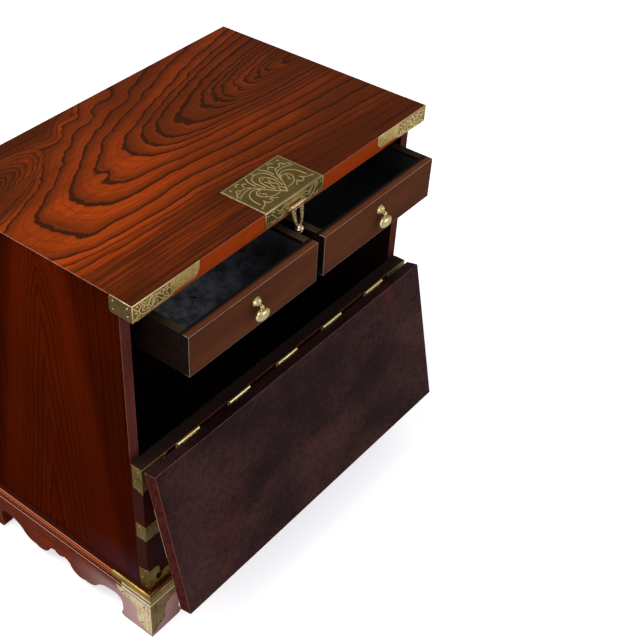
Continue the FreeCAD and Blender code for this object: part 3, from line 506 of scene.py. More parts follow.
def stained_wood():
    """Dark stained board: purple-brown with fine pale specks, cloudy patches, reddish worn places and worn arrises
    with a painted highlight. Its outer face is polished elm with the front board's figure."""
    tone = colours()
    g = Finish("stained_board")
    place = g.place()
    cloud = g.noise(place * (0.6, 1, 1), 9.0, 5.0, 0.62)
    mottle = g.noise(place, 130.0, 4.0, 0.7)
    flecks = g.ramp(mottle, 0.35, 0.7)
    base = g.laid(
        g.mix(g.ramp(cloud, 0.35, 0.68), toned(tone.stained, 0.75), toned(tone.stained, 2.3)),
        (flecks * 0.5, (0.010, 0.0050, 0.0065)),
        (g.ramp(g.noise(place * (1, 1, 0.5), 16.0, 4.0, 0.6), 0.58, 0.80) * 0.55, (0.075, 0.014, 0.010)),
        (g.ramp(g.noise(place, 620.0, 2.0, 0.5), 0.60, 0.70) * 0.30, (0.12, 0.085, 0.09)))
    grain = g.turned(place, FRONT_ORIGIN, FACE_FRONT)
    ring = g.group(growth_rings("Upright"), {"Vector": grain * SHARES})
    pores = g.group(open_pores(), {"Vector": grain})
    elm = g.laid(
        g.mix(g.ramp(cloud, 0.3, 0.7), toned(tone.side_light, 0.8), toned(tone.side_light, 0.45)),
        (g.ramp(pores["Streak"], 0.44, 0.62) * 0.5, tone.side_dark), (ring["Band"] * 0.6, tone.side_dark))
    outward = (0, math.cos(DROP_FRONT_TILT), -math.sin(DROP_FRONT_TILT))
    # Arris wear with a painted highlight.
    edges = g.group(wear_and_highlight_edges(), {"Amount": 0.8, "Radius": 0.0018})
    base = g.laid(
        base, (g.along(g.piece_normal(), outward), elm),
        (g.facing((1, 0, 0)), g.mix(flecks, (0.070, 0.0055, 0.0010), (0.016, 0.0020, 0.0008))),
        (edges["Wear And Highlight"], (0.30, 0.14, 0.14)))
    return g.done({"Base Color": base, "Roughness": g.ramp(mottle, 0.3, 0.7, 0.36, 0.56),
                   "Specular IOR Level": 0.03}, mottle, 0.22, 0.0005, edges["Normal"])


def plain_wood(name, tint, turn, wear_and_highlight=0.5, rough=0.6, wear_and_highlight_tint=(0.30, 0.24, 0.17), edge=None, fore=None,
               streaks=0.55, radius=0.0009, clouds=1.0):
    """Plain dark wood: streaks along the grain, broad clouds and worn arrises with a painted highlight. edge: the
    (axes, colour) of faces in another tone. fore: the place along Y in front of which the arrises are worn and
    painted with a highlight, and behind which the upper edge turns dark. streaks and clouds: their strength.
    radius: how far the wear and painted highlight reach round an arris."""
    g = Finish(name)
    place = g.place()
    grain = g.turned(place, (0, 0, 0), turn)
    pores = g.group(open_pores(), {"Vector": grain})
    cloud = g.noise(grain * (1.0, 6.0, 6.0), 6.0, 4.0, 0.6)
    base = g.mix(g.ramp(cloud, 0.3, 0.72, 0.5 - 0.5 * clouds, 0.5 + 0.5 * clouds), toned(tint, 0.62),
                 toned(tint, 1.35))
    base = g.mix(g.ramp(pores["Streak"], 0.42, 0.66) * streaks, base, toned(tint, 0.3))
    if edge:
        base = g.mix(g.facing(edge[0]), base, g.mix(g.ramp(cloud, 0.3, 0.72), edge[1], toned(edge[1], 0.5)))
    if fore:
        front = g.ramp(g.split(place)[1], fore, fore - 0.006)
        base = g.mix(g.facing((0, 0, 1)) * (1.0 - front), base, (0.005, 0.005, 0.006))
        wear_and_highlight = front * wear_and_highlight
    # Arris wear with a painted highlight.
    edges = g.group(wear_and_highlight_edges(), {"Amount": wear_and_highlight, "Radius": radius})
    return g.done({"Base Color": g.mix(edges["Wear And Highlight"], base, wear_and_highlight_tint),
                   "Roughness": rough - 0.06 + pores["Streak"] * 0.14, "Specular IOR Level": 0.02},
                  0.0 - pores["Pore"], 0.25, 0.0003, edges["Normal"])


def sheet_brass(name, dull, chased=0.0, relief=False, rough=0.34, tint=(1, 1, 1), painted_side_light=None, ground=None,
                streaks=0.0, lines=()):
    """Aged brass: bright where it is worn, with a painted highlight along its arrises, olive in the ground, with
    chasing from the piece's own relief attribute or from the vine pattern. dull: how much of the sheet is dull.
    painted_side_light: a tint for the faces that look sideways, painting them lighter or darker than the front as
    light and reflection. ground: the colour between chased lines, when it isn't the sheet's. streaks: the strength
    of dark upright smears. lines: the (height, half-width, colour) of painted shade bands."""
    tone = colours()
    g = Finish(name)
    place = g.place()
    age = g.group(brass_age(), {"Vector": place})
    aged = g.mix(age["Dull"] * dull, tone.brass, tone.patina)
    height = age["Pits"] * 0.18
    if relief:
        raised = g.add("Attribute", attribute_name="relief", out=2)
        aged = g.mix(raised * 0.85, ground or g.mix(0.78, aged, toned(tone.patina, 0.85)), (0.82, 0.72, 0.40))
    if chased:
        line = g.group(chased_vine(), {"Vector": place})["Line"]
        aged = g.mix(line * chased, aged, (0.76, 0.64, 0.32))
        height = height + line
    aged = g.mix(age["Spots"] * 0.45, aged, (0.085, 0.055, 0.022))
    if streaks:
        smear = g.ramp(g.noise(place * (1, 1, 0.16), 230.0, 3.0, 0.6), 0.48, 0.64)
        aged = g.mix(smear * streaks, aged, (0.10, 0.078, 0.045))
    # Painted shade: darker bands at the given heights.
    aged = g.painted_light_lines(aged, g.split(place)[2], lines, 0.5)
    # Worn arrises with a painted highlight.
    edges = g.group(wear_and_highlight_edges(), {"Amount": 0.9, "Radius": 0.0007})
    aged = g.mix(edges["Wear And Highlight"], aged, (0.92, 0.80, 0.48))
    tinted = g.mix(1.0, aged, tint, "MULTIPLY")
    # The sideways faces are painted lighter or darker, as their light and reflection.
    if painted_side_light:
        tinted = g.mix(g.facing((1, 0, 0)), tinted, g.mix(1.0, aged, painted_side_light, "MULTIPLY"))
    return g.done({"Base Color": tinted, "Metallic": 0.92,
                   "Roughness": g.ramp(age["Dull"], 0, 1, rough, rough + 0.18, "LINEAR")},
                  height, 0.5, 0.0003, edges["Normal"])


def turned_brass(name, tint, rough):
    """Smooth bright brass of the small turned forms, hazed a little by handling."""
    g = Finish(name)
    age = g.group(brass_age(), {"Vector": g.place()})
    return g.done({"Base Color": g.mix(age["Dull"] * 0.35, tint, toned(tint, 0.62)), "Metallic": 0.95,
                   "Roughness": g.ramp(age["Pits"], 0.3, 0.7, rough, rough + 0.08, "LINEAR")})


def flocking():
    """Black flocked lining: a painted grey-blue sheen where the pile is brushed, laid toward the back and left as if
    lit there, and black spots where it is bare.
    """
    g = Finish("flocked_lining")
    place = g.place()
    x, y, _ = g.split(place)
    brushed = g.noise(place, 38.0, 5.0, 0.66)
    # The grey-blue sheen is painted only toward the back and left of each drawer, as light falling there.
    lit = g.ramp(y - x * 0.25, -0.155, -0.06) * g.ramp(x, 0.02, -0.16, 0.30, 1.0)
    bare = g.ramp(g.noise(place, 66.0, 4.0, 0.7), 0.56, 0.68)
    base = g.laid(colours().lining, (g.ramp(brushed, 0.34, 0.66, 0.25, 1.0) * lit, (0.31, 0.32, 0.375)),
                  (bare, (0.0035, 0.0035, 0.0045)))
    return g.done({"Base Color": base, "Roughness": 0.9, "Specular IOR Level": 0.2, "Sheen Weight": 0.15,
                   "Sheen Roughness": 0.4, "Sheen Tint": (0.62, 0.70, 0.86, 1)},
                  g.noise(place, 1400.0, 2.0, 0.6) + brushed * 2.0, 0.6, 0.0008)


# ------------------------------------------------------------------ mesh helpers

def grid_faces(rows, columns, wrap=False):
    """Quads of a rows by columns grid of points, row after row; wrap closes each row on itself."""
    across = columns if wrap else columns - 1
    i, j = np.meshgrid(np.arange(rows - 1), np.arange(across), indexing="ij")
    k = (j + 1) % columns
    return np.stack([i * columns + j, i * columns + k, (i + 1) * columns + k, (i + 1) * columns + j],
                    -1).reshape(-1, 4)


def placed(name, data):
    """A new object in the scene."""
    made = bpy.data.objects.new(name, data)
    bpy.context.scene.collection.objects.link(made)
    return made


def mesh_piece(name, points, faces, material, body, slot, values=None, smooth=True):
    """A mesh object from arrays of points and quads, riding on a body; values become the relief attribute."""
    mesh = bpy.data.meshes.new(name)
    faces = np.asarray(faces, np.int32)
    mesh.vertices.add(len(points))
    mesh.vertices.foreach_set("co", np.asarray(points, np.float32).ravel())
    mesh.loops.add(faces.size)
    mesh.loops.foreach_set("vertex_index", faces.ravel())
    mesh.polygons.add(len(faces))
    mesh.polygons.foreach_set("loop_start", np.arange(len(faces), dtype=np.int32) * faces.shape[1])
    mesh.polygons.foreach_set("use_smooth", np.full(len(faces), smooth))
    mesh.update(calc_edges=True)
    mesh.validate()
    if values is not None:
        mesh.attributes.new("relief", "FLOAT", "POINT").data.foreach_set(
            "value", np.asarray(values, np.float32).ravel())
    mesh.materials.append(material)
    piece = placed(name, mesh)
    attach(piece, body)
    return piece


def smooth_path(points, steps=14):
    """A Catmull-Rom curve through the points: each span is the cubic that leaves along its neighbours' chord."""
    p = np.asarray(points, float)
    p = np.vstack([2 * p[0] - p[1], p, 2 * p[-1] - p[-2]])
    t = np.linspace(0, 1, steps, endpoint=False)[None, :, None]
    a, b, c, d = (p[i:len(p) - 3 + i, None, :] for i in range(4))
    span = 0.5 * (2 * b + (c - a) * t + (2 * a - 5 * b + 4 * c - d) * t ** 2 + (3 * b - a - 3 * c + d) * t ** 3)
    return np.vstack([span.reshape(-1, p.shape[1]), p[-2]])


def distance_to_lines(points, lines):
    """Distance of every point to the nearest of the lines' segments: the offset from the foot of the
    perpendicular, its place held between the segment's ends."""
    best = np.full(len(points), 1e9)
    for line in lines:
        start, run = line[:-1], np.diff(line, axis=0)
        reach = (run ** 2).sum(1) + 1e-18
        low, high = line.min(0) - 0.004, line.max(0) + 0.004
        near = ((points >= low) & (points <= high)).all(1)
        if not near.any():
            continue
        gap = points[near, None, :] - start
        share = np.clip((gap * run).sum(2) / reach, 0, 1)
        away = np.sqrt(((gap - share[..., None] * run) ** 2).sum(2)).min(1)
        best[near] = np.minimum(best[near], away)
    return best


def distance_inside(points, outline):
    """Distance from a closed outline, positive inside: the nearest edge, with the sign from the winding number."""
    ring = np.vstack([outline, outline[:1]])
    away = np.full(len(points), 1e9)
    winding = np.zeros(len(points))
    for a, b in zip(ring[:-1], ring[1:]):
        run = b - a
        share = np.clip(((points - a) @ run) / (run @ run + 1e-18), 0, 1)
        away = np.minimum(away, np.linalg.norm(points - a - share[:, None] * run, axis=1))
        crosses = (points[:, 1] >= a[1]) != (points[:, 1] >= b[1])
        left = run[0] * (points[:, 1] - a[1]) - run[1] * (points[:, 0] - a[0])
        winding += crosses * (left * run[1] > 0) * np.sign(run[1])
    return np.where(np.abs(winding) > 0.5, away, -away)


def chased_sheet(name, origin, along, up, outline, lines, dots, material, body, border=0.0016, holes=()):
    """Chased face of a mount: a grid over the outline, raised by the chasing. A line is a rounded ridge, a dot a
    low dome, and the ground is lightly dished. At the border the sheet dips into the plate that carries it."""
    size = sizes()
    origin, along, up = (np.asarray(v, float) for v in (origin, along, up))
    out = np.cross(along, up)
    outline = np.asarray(outline, float)
    low, high = outline.min(0), outline.max(0)
    counts = np.ceil((high - low) / size.cell).astype(int) + 1
    u, v = np.meshgrid(np.linspace(low[0], high[0], counts[0]), np.linspace(low[1], high[1], counts[1]))
    flat = np.stack([u.ravel(), v.ravel()], 1)
    inside = distance_inside(flat, outline)
    for hole in holes:
        inside = np.minimum(inside, -distance_inside(flat, np.asarray(hole, float)))
    away = distance_to_lines(flat, lines)
    ridge = np.sqrt(np.clip(1 - (away / size.line) ** 2, 0, 1))
    for x, y, r in dots:
        ridge = np.maximum(ridge, np.sqrt(np.clip(1 - ((flat[:, 0] - x) ** 2 + (flat[:, 1] - y) ** 2) / r ** 2, 0, 1)))
    rim_half, ground, plate_edge, deepest = 0.0009, 0.00006, 0.0004, -0.0003
    rim = np.clip(1 - np.abs(inside - border) / rim_half, 0, 1) ** 0.5 * 0.6
    relief = np.maximum(ridge * (inside > border), rim)
    height = np.minimum(ground + relief * size.relief, (inside - plate_edge) * 0.9)
    height = np.maximum(height, deepest)
    points = origin + flat[:, :1] * along + flat[:, 1:] * up + height[:, None] * out
    faces = grid_faces(counts[1], counts[0])
    kept = (inside[faces] > 0).all(1)
    faces = faces[kept]
    used = np.unique(faces)
    renumber = np.zeros(len(points), int)
    renumber[used] = np.arange(len(used))
    return mesh_piece(name, points[used], renumber[faces], material, body, "brass", relief[used])


def domed_heads(name, places, outward, material, body, radius=None, rise=0.55):
    """Nail heads: each a low dome, its profile a quarter ellipse that rises by the given share of its radius, set
    on the given points along their outward directions."""
    radius = radius or sizes().nail
    places, outward = np.asarray(places, float), np.asarray(outward, float)
    outward = np.broadcast_to(outward, places.shape)
    helper = np.where(np.abs(outward[:, 2:]) > 0.9, [[1.0, 0, 0]], [[0, 0, 1.0]])
    side = np.cross(outward, helper)
    side /= np.linalg.norm(side, axis=1, keepdims=True)
    top = np.cross(outward, side)
    facets = 12
    turn = np.linspace(0, 2 * np.pi, facets, endpoint=False)
    fall = np.array([0.0, 0.5, 1.0, 1.3]) * np.pi / 2
    reach = np.where(fall > np.pi / 2, 1.0, np.sin(fall))
    lift = np.where(fall > np.pi / 2, -0.35, np.cos(fall))
    ring = radius * reach[:, None, None]
    shape = (ring * (np.cos(turn)[None, :, None] * side[:, None, None, :]
                     + np.sin(turn)[None, :, None] * top[:, None, None, :])
             + (radius * rise * lift)[None, :, None, None] * outward[:, None, None, :])
    points = (places[:, None, None, :] + shape).reshape(-1, 3)
    one = grid_faces(len(fall), facets, wrap=True)[:, ::-1]
    faces = (one[None] + (np.arange(len(places)) * len(fall) * facets)[:, None, None]).reshape(-1, 4)
    return mesh_piece(name, points, faces, material, body, "brass")


def lathed(profile, centre, axis, squash=(1, 1)):
    """A turned form: the profile's (radius, height) pairs carried round the axis; an end comes to a point where
    the profile's radius there is near zero.
    """
    turns = sizes().turns
    profile = smooth_path(profile, 8)
    angle = np.linspace(0, 2 * np.pi, turns, endpoint=False)
    axis = np.asarray(axis, float) / np.linalg.norm(axis)
    side = np.cross(axis, [1.0, 0, 0] if abs(axis[0]) < 0.9 else [0, 1.0, 0])
    side /= np.linalg.norm(side)
    top = np.cross(axis, side)
    around = np.cos(angle)[:, None] * side * squash[0] + np.sin(angle)[:, None] * top * squash[1]
    points = np.asarray(centre) + profile[:, :1, None] * around[None] + profile[:, 1:, None] * axis
    return points.reshape(-1, 3), grid_faces(len(profile), turns, wrap=True)


def tube(path, radius, turns=12):
    """A wire: circles carried along a path, each square to it, turned by the least from the one before, and a
    last circle at each end drawn in to a point."""
    path = np.asarray(path, float)
    run = np.gradient(path, axis=0)
    run /= np.linalg.norm(run, axis=1, keepdims=True)
    normal = np.cross(run[0], [0.3, 0.5, 0.81])
    frames = []
    for direction in run:
        normal = normal - direction * (normal @ direction)
        normal /= np.linalg.norm(normal)
        frames.append(normal)
    normal = np.array(frames)
    other = np.cross(run, normal)
    angle = np.linspace(0, 2 * np.pi, turns, endpoint=False)
    ends = np.r_[0, np.arange(len(path)), len(path) - 1]
    reach = np.full((len(ends), 1, 1), float(radius))
    reach[[0, -1]] = 0.00001
    points = path[ends][:, None] + reach * (np.cos(angle)[None, :, None] * normal[ends][:, None]
                                            + np.sin(angle)[None, :, None] * other[ends][:, None])
    return points.reshape(-1, 3), grid_faces(len(ends), turns, wrap=True)


def merged(parts):
    """Several (points, faces) pairs as one pair."""
    points, faces, count = [], [], 0
    for p, f in parts:
        points.append(p)
        faces.append(f + count)
        count += len(p)
    return np.vstack(points), np.vstack(faces)


def finish_node(material, *names):
    """Gives CAD nodes a material in place of their own."""
    for name in names:
        mesh = NODES[name].data
        mesh.materials.clear()
        mesh.materials.append(material)


# ------------------------------------------------------------------ operators

class CHEST_OT_case(bpy.types.Operator):
    """Polished elm of the case: arched figure on the top board, upright figure on the sides"""
    bl_idname = "chest.case"
    bl_label = "Case boards"

    def execute(self, context):
        tone = colours()
        side_mid = toned(tone.side_light, 0.55)
        origin = (TOP_LOW.x - 0.0043, TOP_HIGH.y, TOP_HIGH.z)
        top = figured_wood("figured_elm_top", "Arched", origin, GRAIN_ALONG_X,
                           (tone.elm_light, tone.elm_mid, tone.elm_dark), (0.26, 0.012, 0, 0.7), fine=0.34,
                           edge=((1, 1, 0), (0.36, 0.047, 0.006)))
        finish_node(top, "top_board")
        # The side boards get a purple painted sheen low at the front corners.
        side = figured_wood("figured_elm_side", "Upright", (0, TOP_HIGH.y, 0.60), GRAIN_DOWN,
                            (tone.side_light, side_mid, tone.side_dark), (0.36, 0, 0, 0.5), bands=0.42, fine=0.25,
                            shade=0.35,
                            edge=((0, 1, 0), (0.105, 0.026, 0.022)), painted_sheen=(0.5, (0.046, 0.028, 0.040), 0.17, 0.09),
                            low=(0.37, 0.34), inner=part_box("right_side_panel")[0].x + 0.0005)
        finish_node(side, "left_side_panel", "right_side_panel")
        front = figured_wood("figured_elm_front", "Upright", FRONT_ORIGIN, FACE_FRONT,
                             (toned(tone.side_light, 0.8), side_mid, tone.side_dark), (0.36, 0.02, 0, 0.8),
                             bands=0.7, shade=0.3,
                             edge=((0, 0, 1), (0.022, 0.013, 0.011)), worn_and_lit=(0.62, 0.13, 0.04),
                             low=(0.3445, 0.342))
        finish_node(front, "lower_front_board")
        inner = plain_wood("inner_softwood", (0.030, 0.017, 0.011), GRAIN_ALONG_X, wear_and_highlight=0.2, rough=0.7)
        finish_node(inner, "bottom_board", "drawer_shelf", "back_panel", "stand_back_rail",
                    "stand_corner_blocks")
        along = plain_wood("inner_runners", (0.030, 0.017, 0.011), GRAIN_ALONG_Y, wear_and_highlight=0.2, rough=0.7)
        finish_node(along, "drawer_kickers", "left_drawer_guide", "right_drawer_guide",
                    "centre_drawer_guide")
        return {"FINISHED"}


class CHEST_OT_drop_front(bpy.types.Operator):
    """Dark stained inner face of the drop front"""
    bl_idname = "chest.drop_front"
    bl_label = "Drop front"

    def execute(self, context):
        finish_node(stained_wood(), "drop_front_panel")
        return {"FINISHED"}


class CHEST_OT_drawers(bpy.types.Operator):
    """Worn brown drawers with their flocked linings"""
    bl_idname = "chest.drawers"
    bl_label = "Drawers"

    def execute(self, context):
        tone = colours()
        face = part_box("left_drawer_front")[0].y
        front = plain_wood("drawer_front_wood", tone.brown, GRAIN_ALONG_X, wear_and_highlight=0.9, rough=0.46, fore=face + 0.0120,
                           wear_and_highlight_tint=(0.40, 0.36, 0.36), edge=((1, 0, 0), DARK_INSIDE), streaks=0.12,
                           radius=0.0014, clouds=0.5)
        side = plain_wood("drawer_side_wood", (0.0085, 0.0036, 0.0024), GRAIN_ALONG_Y, wear_and_highlight=0.12, rough=0.55,
                          edge=((0, 0, 1), (0.040, 0.030, 0.015)))
        lining = flocking()
        for hand, _ in HANDS:
            finish_node(front, f"{hand}_drawer_front", f"{hand}_drawer_back")
            finish_node(side, f"{hand}_drawer_left_side", f"{hand}_drawer_right_side",
                        f"{hand}_drawer_bottom")
            self.line_drawer(hand, lining)
        return {"FINISHED"}

    def line_drawer(self, hand, material):
        """The lining is one skin: down a wall, round a small cove and across the floor. Its section is a rounded
        box, and its distance from the wood swells and sinks with a sum of sines."""
        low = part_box(f"{hand}_drawer_left_side")[1].x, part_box(f"{hand}_drawer_front")[1].y
        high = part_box(f"{hand}_drawer_right_side")[0].x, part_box(f"{hand}_drawer_back")[0].y
        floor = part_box(f"{hand}_drawer_bottom")[1].z
        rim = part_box(f"{hand}_drawer_back")[1].z - 0.0012
        middle = np.array([(low[0] + high[0]) / 2, (low[1] + high[1]) / 2])
        half = np.array([(high[0] - low[0]) / 2, (high[1] - low[1]) / 2]) - 0.0006
        corner, steps = 0.0035, 260
        upright, bend, level = 16, 6, 40
        angle = np.linspace(0, 2 * np.pi, steps, endpoint=False)
        square = np.stack([np.cos(angle), np.sin(angle)], 1)
        reach = np.maximum(np.abs(square[:, 0]) * half[1], np.abs(square[:, 1]) * half[0])
        ring = square * (half[0] * half[1] / reach)[:, None]
        drop = np.concatenate([np.linspace(rim, floor + corner, upright), floor + corner
                               - corner * np.sin(np.linspace(0.2, 1, bend) * np.pi / 2),
                               np.full(level, floor + 0.0004)])
        inset = np.concatenate([np.zeros(upright), corner * (1 - np.cos(np.linspace(0.2, 1, bend) * np.pi / 2)),
                                np.full(level, corner)])
        shrink = np.concatenate([np.ones(upright + bend), np.linspace(0.975, 0.0005, level)])
        plan = (ring[None] - np.sign(ring)[None] * np.minimum(np.abs(ring)[None], inset[:, None, None])) \
            * shrink[:, None, None]
        x, y = middle[0] + plan[..., 0], middle[1] + plan[..., 1]
        z = np.broadcast_to(drop[:, None], x.shape).copy()
        swell = 0.5 + 0.25 * np.sin(x * 210 + 3 * np.sin(y * 90))
        swell += 0.25 * np.sin(y * 170 + 2 * np.sin(z * 300 + x * 60))
        z[upright + bend:] += swell[upright + bend:] * 0.0011
        points = np.stack([x, y, z], -1)
        inward = -(plan / (np.linalg.norm(plan, axis=-1, keepdims=True) + 1e-9))
        wall = slice(1, upright + bend)
        points[wall, :, :2] += inward[wall] * swell[wall, :, None] * 0.0006
        points = points.reshape(-1, 3)
        mesh_piece(f"{hand}_drawer_lining", points, grid_faces(len(drop), steps, wrap=True), material,
                   f"{hand}_drawer", "drawer_wood")


# Engraved lines of one half of a mount, through (across, up) points in millimetres, and the (across, up, radius)
# of its dots.
LOCK_SCROLLS = (
    ((0, 11), (-6, 19), (-13, 30), (-20, 43), (-25, 49.5), (-34, 51.7), (-46, 50), (-54, 46)),
    ((-21, 41), (-26, 45), (-33, 45.8), (-40, 43), (-45, 37), (-47.8, 28), (-48.2, 18)),
    ((-16, 35), (-20, 38.5), (-25, 40), (-30.5, 38.6), (-33.5, 34), (-31.5, 27), (-25.5, 20.5), (-17.5, 17.3),
     (-9, 17.3)),
    ((-7, 26), (-9, 35), (-8.6, 46), (-5, 55), (0, 58.6)),
    ((-13.5, 38), (-14.6, 48), (-14, 57), (-9.5, 64.8), (0, 68)),
    ((-19, 50), (-19, 58), (-17.6, 65), (-13.5, 72)),
    ((0, 68), (0, 72.5)),
    ((0, 12), (-3.4, 18), (-2.4, 23.5), (0, 26)),
    ((-53, 11), (-46, 12.6), (-41, 16), (-37.5, 21)),
    ((-38.5, 17), (-36.5, 13), (-32, 11.6), (-28.6, 14), (-29.4, 17.4)),
    ((-27, 18), (-24, 14.6), (-20, 11)),
    ((-31, 60), (-29, 64.6), (-25.6, 65.6), (-23.4, 62.6)),
    ((-49, 55), (-46.6, 59.8), (-42.6, 60.6), (-40, 57)),
    ((-54, 49), (-52.6, 54), (-48, 55)),
    ((-38, 68), (-34, 71.6), (-30, 70)),
    ((-26.5, 53), (-31, 56.6), (-38, 56.4)),
    ((-3.5, 47), (-1.5, 40), (-4.5, 33), (-3, 28)),
    ((-27, 32), (-24.4, 28.6), (-25.6, 25.6)),
)
LOCK_DOTS = ((0, 53.4, 1.5), (-28.4, 35, 1.5), (-52.4, 10, 1.3), (-49, 67.6, 1.8), (-44.5, 55.4, 1.2))
FLANGE_SCROLLS = (
    ((-21, 8), (-26, 4.5), (-33, 4), (-39, 8), (-45, 14), (-49, 17)),
    ((-22, 18), (-28, 14), (-34, 15.6), (-37.6, 19.4)),
    ((-24, 11.5), (-30, 9.4), (-34.4, 12.2)),
    ((-41, 17.5), (-44, 19.6), (-48, 19.6)), ((-40, 5), (-45, 3.6), (-50, 6)),
)
HASP_SCROLLS = (
    ((5.6, -27.6), (7.4, -24.6), (7.8, -21), (6.2, -19.6), (5.6, -21.6), (6.6, -22.6)),
    ((5.4, -12), (6, -17), (8.6, -18.6), (9.6, -16), (8.4, -14.2), (7.2, -15.4)),
    ((5.2, -8.8), (7.2, -10.8), (9.8, -10.4), (10.6, -7.6), (8.8, -6), (7.4, -7.2)),
    ((2.2, -4.2), (5, -4), (8, -3.6)),
)
HASP_LEAF = ((0.0045, -0.031), (0.0072, -0.0275), (0.0098, -0.0205), (0.0112, -0.0148), (0.0121, -0.0085),
             (0.0124, -0.0030))
HASP_EYE = ((0.0026, -0.0286), (0.0039, -0.0212), (0.0044, -0.0130), (0.0037, -0.0072), (0, -0.0039))


def mirrored(lines):
    """Curves through lines given in millimetres, and the same curves over the middle, in metres."""
    made = []
    for line in lines:
        path = smooth_path(np.array(line, float) * 0.001)
        made += [path, path * [-1, 1]]
    return made


class CHEST_OT_lock(bpy.types.Operator):
    """Chased lock plate over the front edge of the top, its flange, the hasp and the lock of the drop front"""
    bl_idname = "chest.lock"
    bl_label = "Lock and hasp"

    def execute(self, context):
        plate = sheet_brass("lock_plate_brass", dull=0.85)
        finish_node(plate, "top_lock_plate", "drop_front_lock_plate", "lock_staple",
                    "drop_front_left_strap", "drop_front_right_strap")
        half = 0.060
        self.chase_plate(half)
        # Bright strips on the plate's and top mounts' arrises: their wear and a painted highlight.
        worn_and_lit = turned_brass("arris_wear_and_highlight_brass", (0.90, 0.78, 0.50), 0.3)
        front, lower, upper = TOP_LOW.y - 0.0011, PLATE_LOW.z + 0.0008, PLATE_HIGH.z - 0.0002
        self.arris("lock_plate_arris", [(-half, front, lower), (-half, front, upper), (half, front, upper),
                                        (half, front, lower)], worn_and_lit)
        self.chase_hasp()
        front, lower, upper = TOP_LOW.y - 0.0007, TOP_HIGH.z - 0.0252, TOP_HIGH.z - 0.0003
        for hand, sign in HANDS:
            side = sign * 0.3056
            self.arris(f"{hand}_top_mount_arris", [(side, front + 0.034, upper), (side, front, upper),
                                                   (side, front, lower)], worn_and_lit)
            self.arris(f"{hand}_top_mount_front_arris", [(side, front, upper), (side - sign * 0.112, front, upper)],
                       worn_and_lit)
        return {"FINISHED"}

    def chase_plate(self, half):
        """The engraving of the plate on the top, and of its flange on either side of the hasp."""
        chased = sheet_brass("chased_brass", relief=True, dull=0.9, rough=0.36, tint=(1.0, 0.93, 0.80))
        deep, cut = PLATE_HIGH.y - TOP_LOW.y, 0.003
        dots = [(side * x, y, r) for x, y, r in np.array(LOCK_DOTS) / 1000 for side in (1, -1)]
        chased_sheet("lock_plate_chasing", (0, TOP_LOW.y, PLATE_HIGH.z), (1, 0, 0), (0, 1, 0),
                     [(-half, -0.0012), (half, -0.0012), (half, deep - cut), (half - cut, deep), (cut - half, deep),
                      (-half, deep - cut)], mirrored(LOCK_SCROLLS), dots, chased, "case")
        nails = [(side * 0.0545, y, 0.0014) for side in (-1, 1) for y in (0.0175, 0.0058)]
        for hand, low, high in (("left", -half, -0.0195), ("right", 0.0195, half)):
            chased_sheet(f"lock_flange_{hand}_chasing", (0, TOP_LOW.y - 0.0012, PLATE_LOW.z), (1, 0, 0), (0, 0, 1),
                         [(low, 0), (high, 0), (high, 0.0237), (low, 0.0237)], mirrored(FLANGE_SCROLLS), nails,
                         chased, "case", border=0.0013)

    def chase_hasp(self):
        """The pierced leaf's chasing, and smooth skins for the flat-sided ball and barrel."""
        finish_node(sheet_brass("hasp_brass", dull=0.6, tint=(0.60, 0.50, 0.36)), "hasp", "hasp_pin")
        pierced = sheet_brass("hasp_chased_brass", relief=True, dull=0.4, tint=(1.1, 0.98, 0.85),
                              ground=(0.045, 0.040, 0.016))
        down = np.array([0, -math.sin(HASP_TILT), -math.cos(HASP_TILT)])
        out = np.array([0, -math.cos(HASP_TILT), math.sin(HASP_TILT)])
        leaf, eye = (np.vstack([half, half[::-1] * [-1, 1]]) for half in map(smooth_path, (HASP_LEAF, HASP_EYE)))
        chased_sheet("hasp_chasing", HASP_PIN + out * 0.0009, (1, 0, 0), -down, leaf, mirrored(HASP_SCROLLS), [],
                     pierced, "hasp", border=0.0010, holes=[eye])
        bright = turned_brass("ball_brass", (0.90, 0.66, 0.46), 0.16)
        reach = (HASP_PIN[2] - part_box("hasp")[0].z) / math.cos(HASP_TILT) - 0.0058
        ball = [(0.00001, -0.0063), (0.0033, -0.0054), (0.0056, -0.0027), (0.0063, 0), (0.0056, 0.0027),
                (0.0033, 0.0054), (0.00001, 0.0063)]
        mesh_piece("hasp_ball", *lathed(ball, HASP_PIN + down * reach, down), bright, "hasp", "brass")
        barrel = np.array([(x, 0, 0) for x in np.linspace(-0.0127, 0.0127, 24)])
        mesh_piece("hasp_barrel_sleeve", *tube(HASP_PIN + barrel, 0.0024, 24), bright, "hasp", "brass")

    def arris(self, name, corners, material):
        """An arris strip: a thin rounded edge of bright brass along straight runs between the corners, for the arris's
        wear and its painted highlight.
        """
        runs = [tube(np.linspace(a, b, 3), 0.00035, 8) for a, b in zip(corners[:-1], corners[1:])]
        mesh_piece(name, *merged(runs), material, "case", "brass")


class CHEST_OT_hinges(bpy.types.Operator):
    """Bright knuckles and leaves of the five hinges"""
    bl_idname = "chest.hinges"
    bl_label = "Hinges"

    def execute(self, context):
        bright = turned_brass("hinge_brass", (0.95, 0.80, 0.42), 0.22)
        leaves = sheet_brass("hinge_leaf_brass", dull=0.2, rough=0.3, tint=(1.9, 1.9, 2.1))
        finish_node(bright, "hinge_pins")
        finish_node(leaves, "hinge_case_leaves", "hinge_flap_leaves")
        return {"FINISHED"}


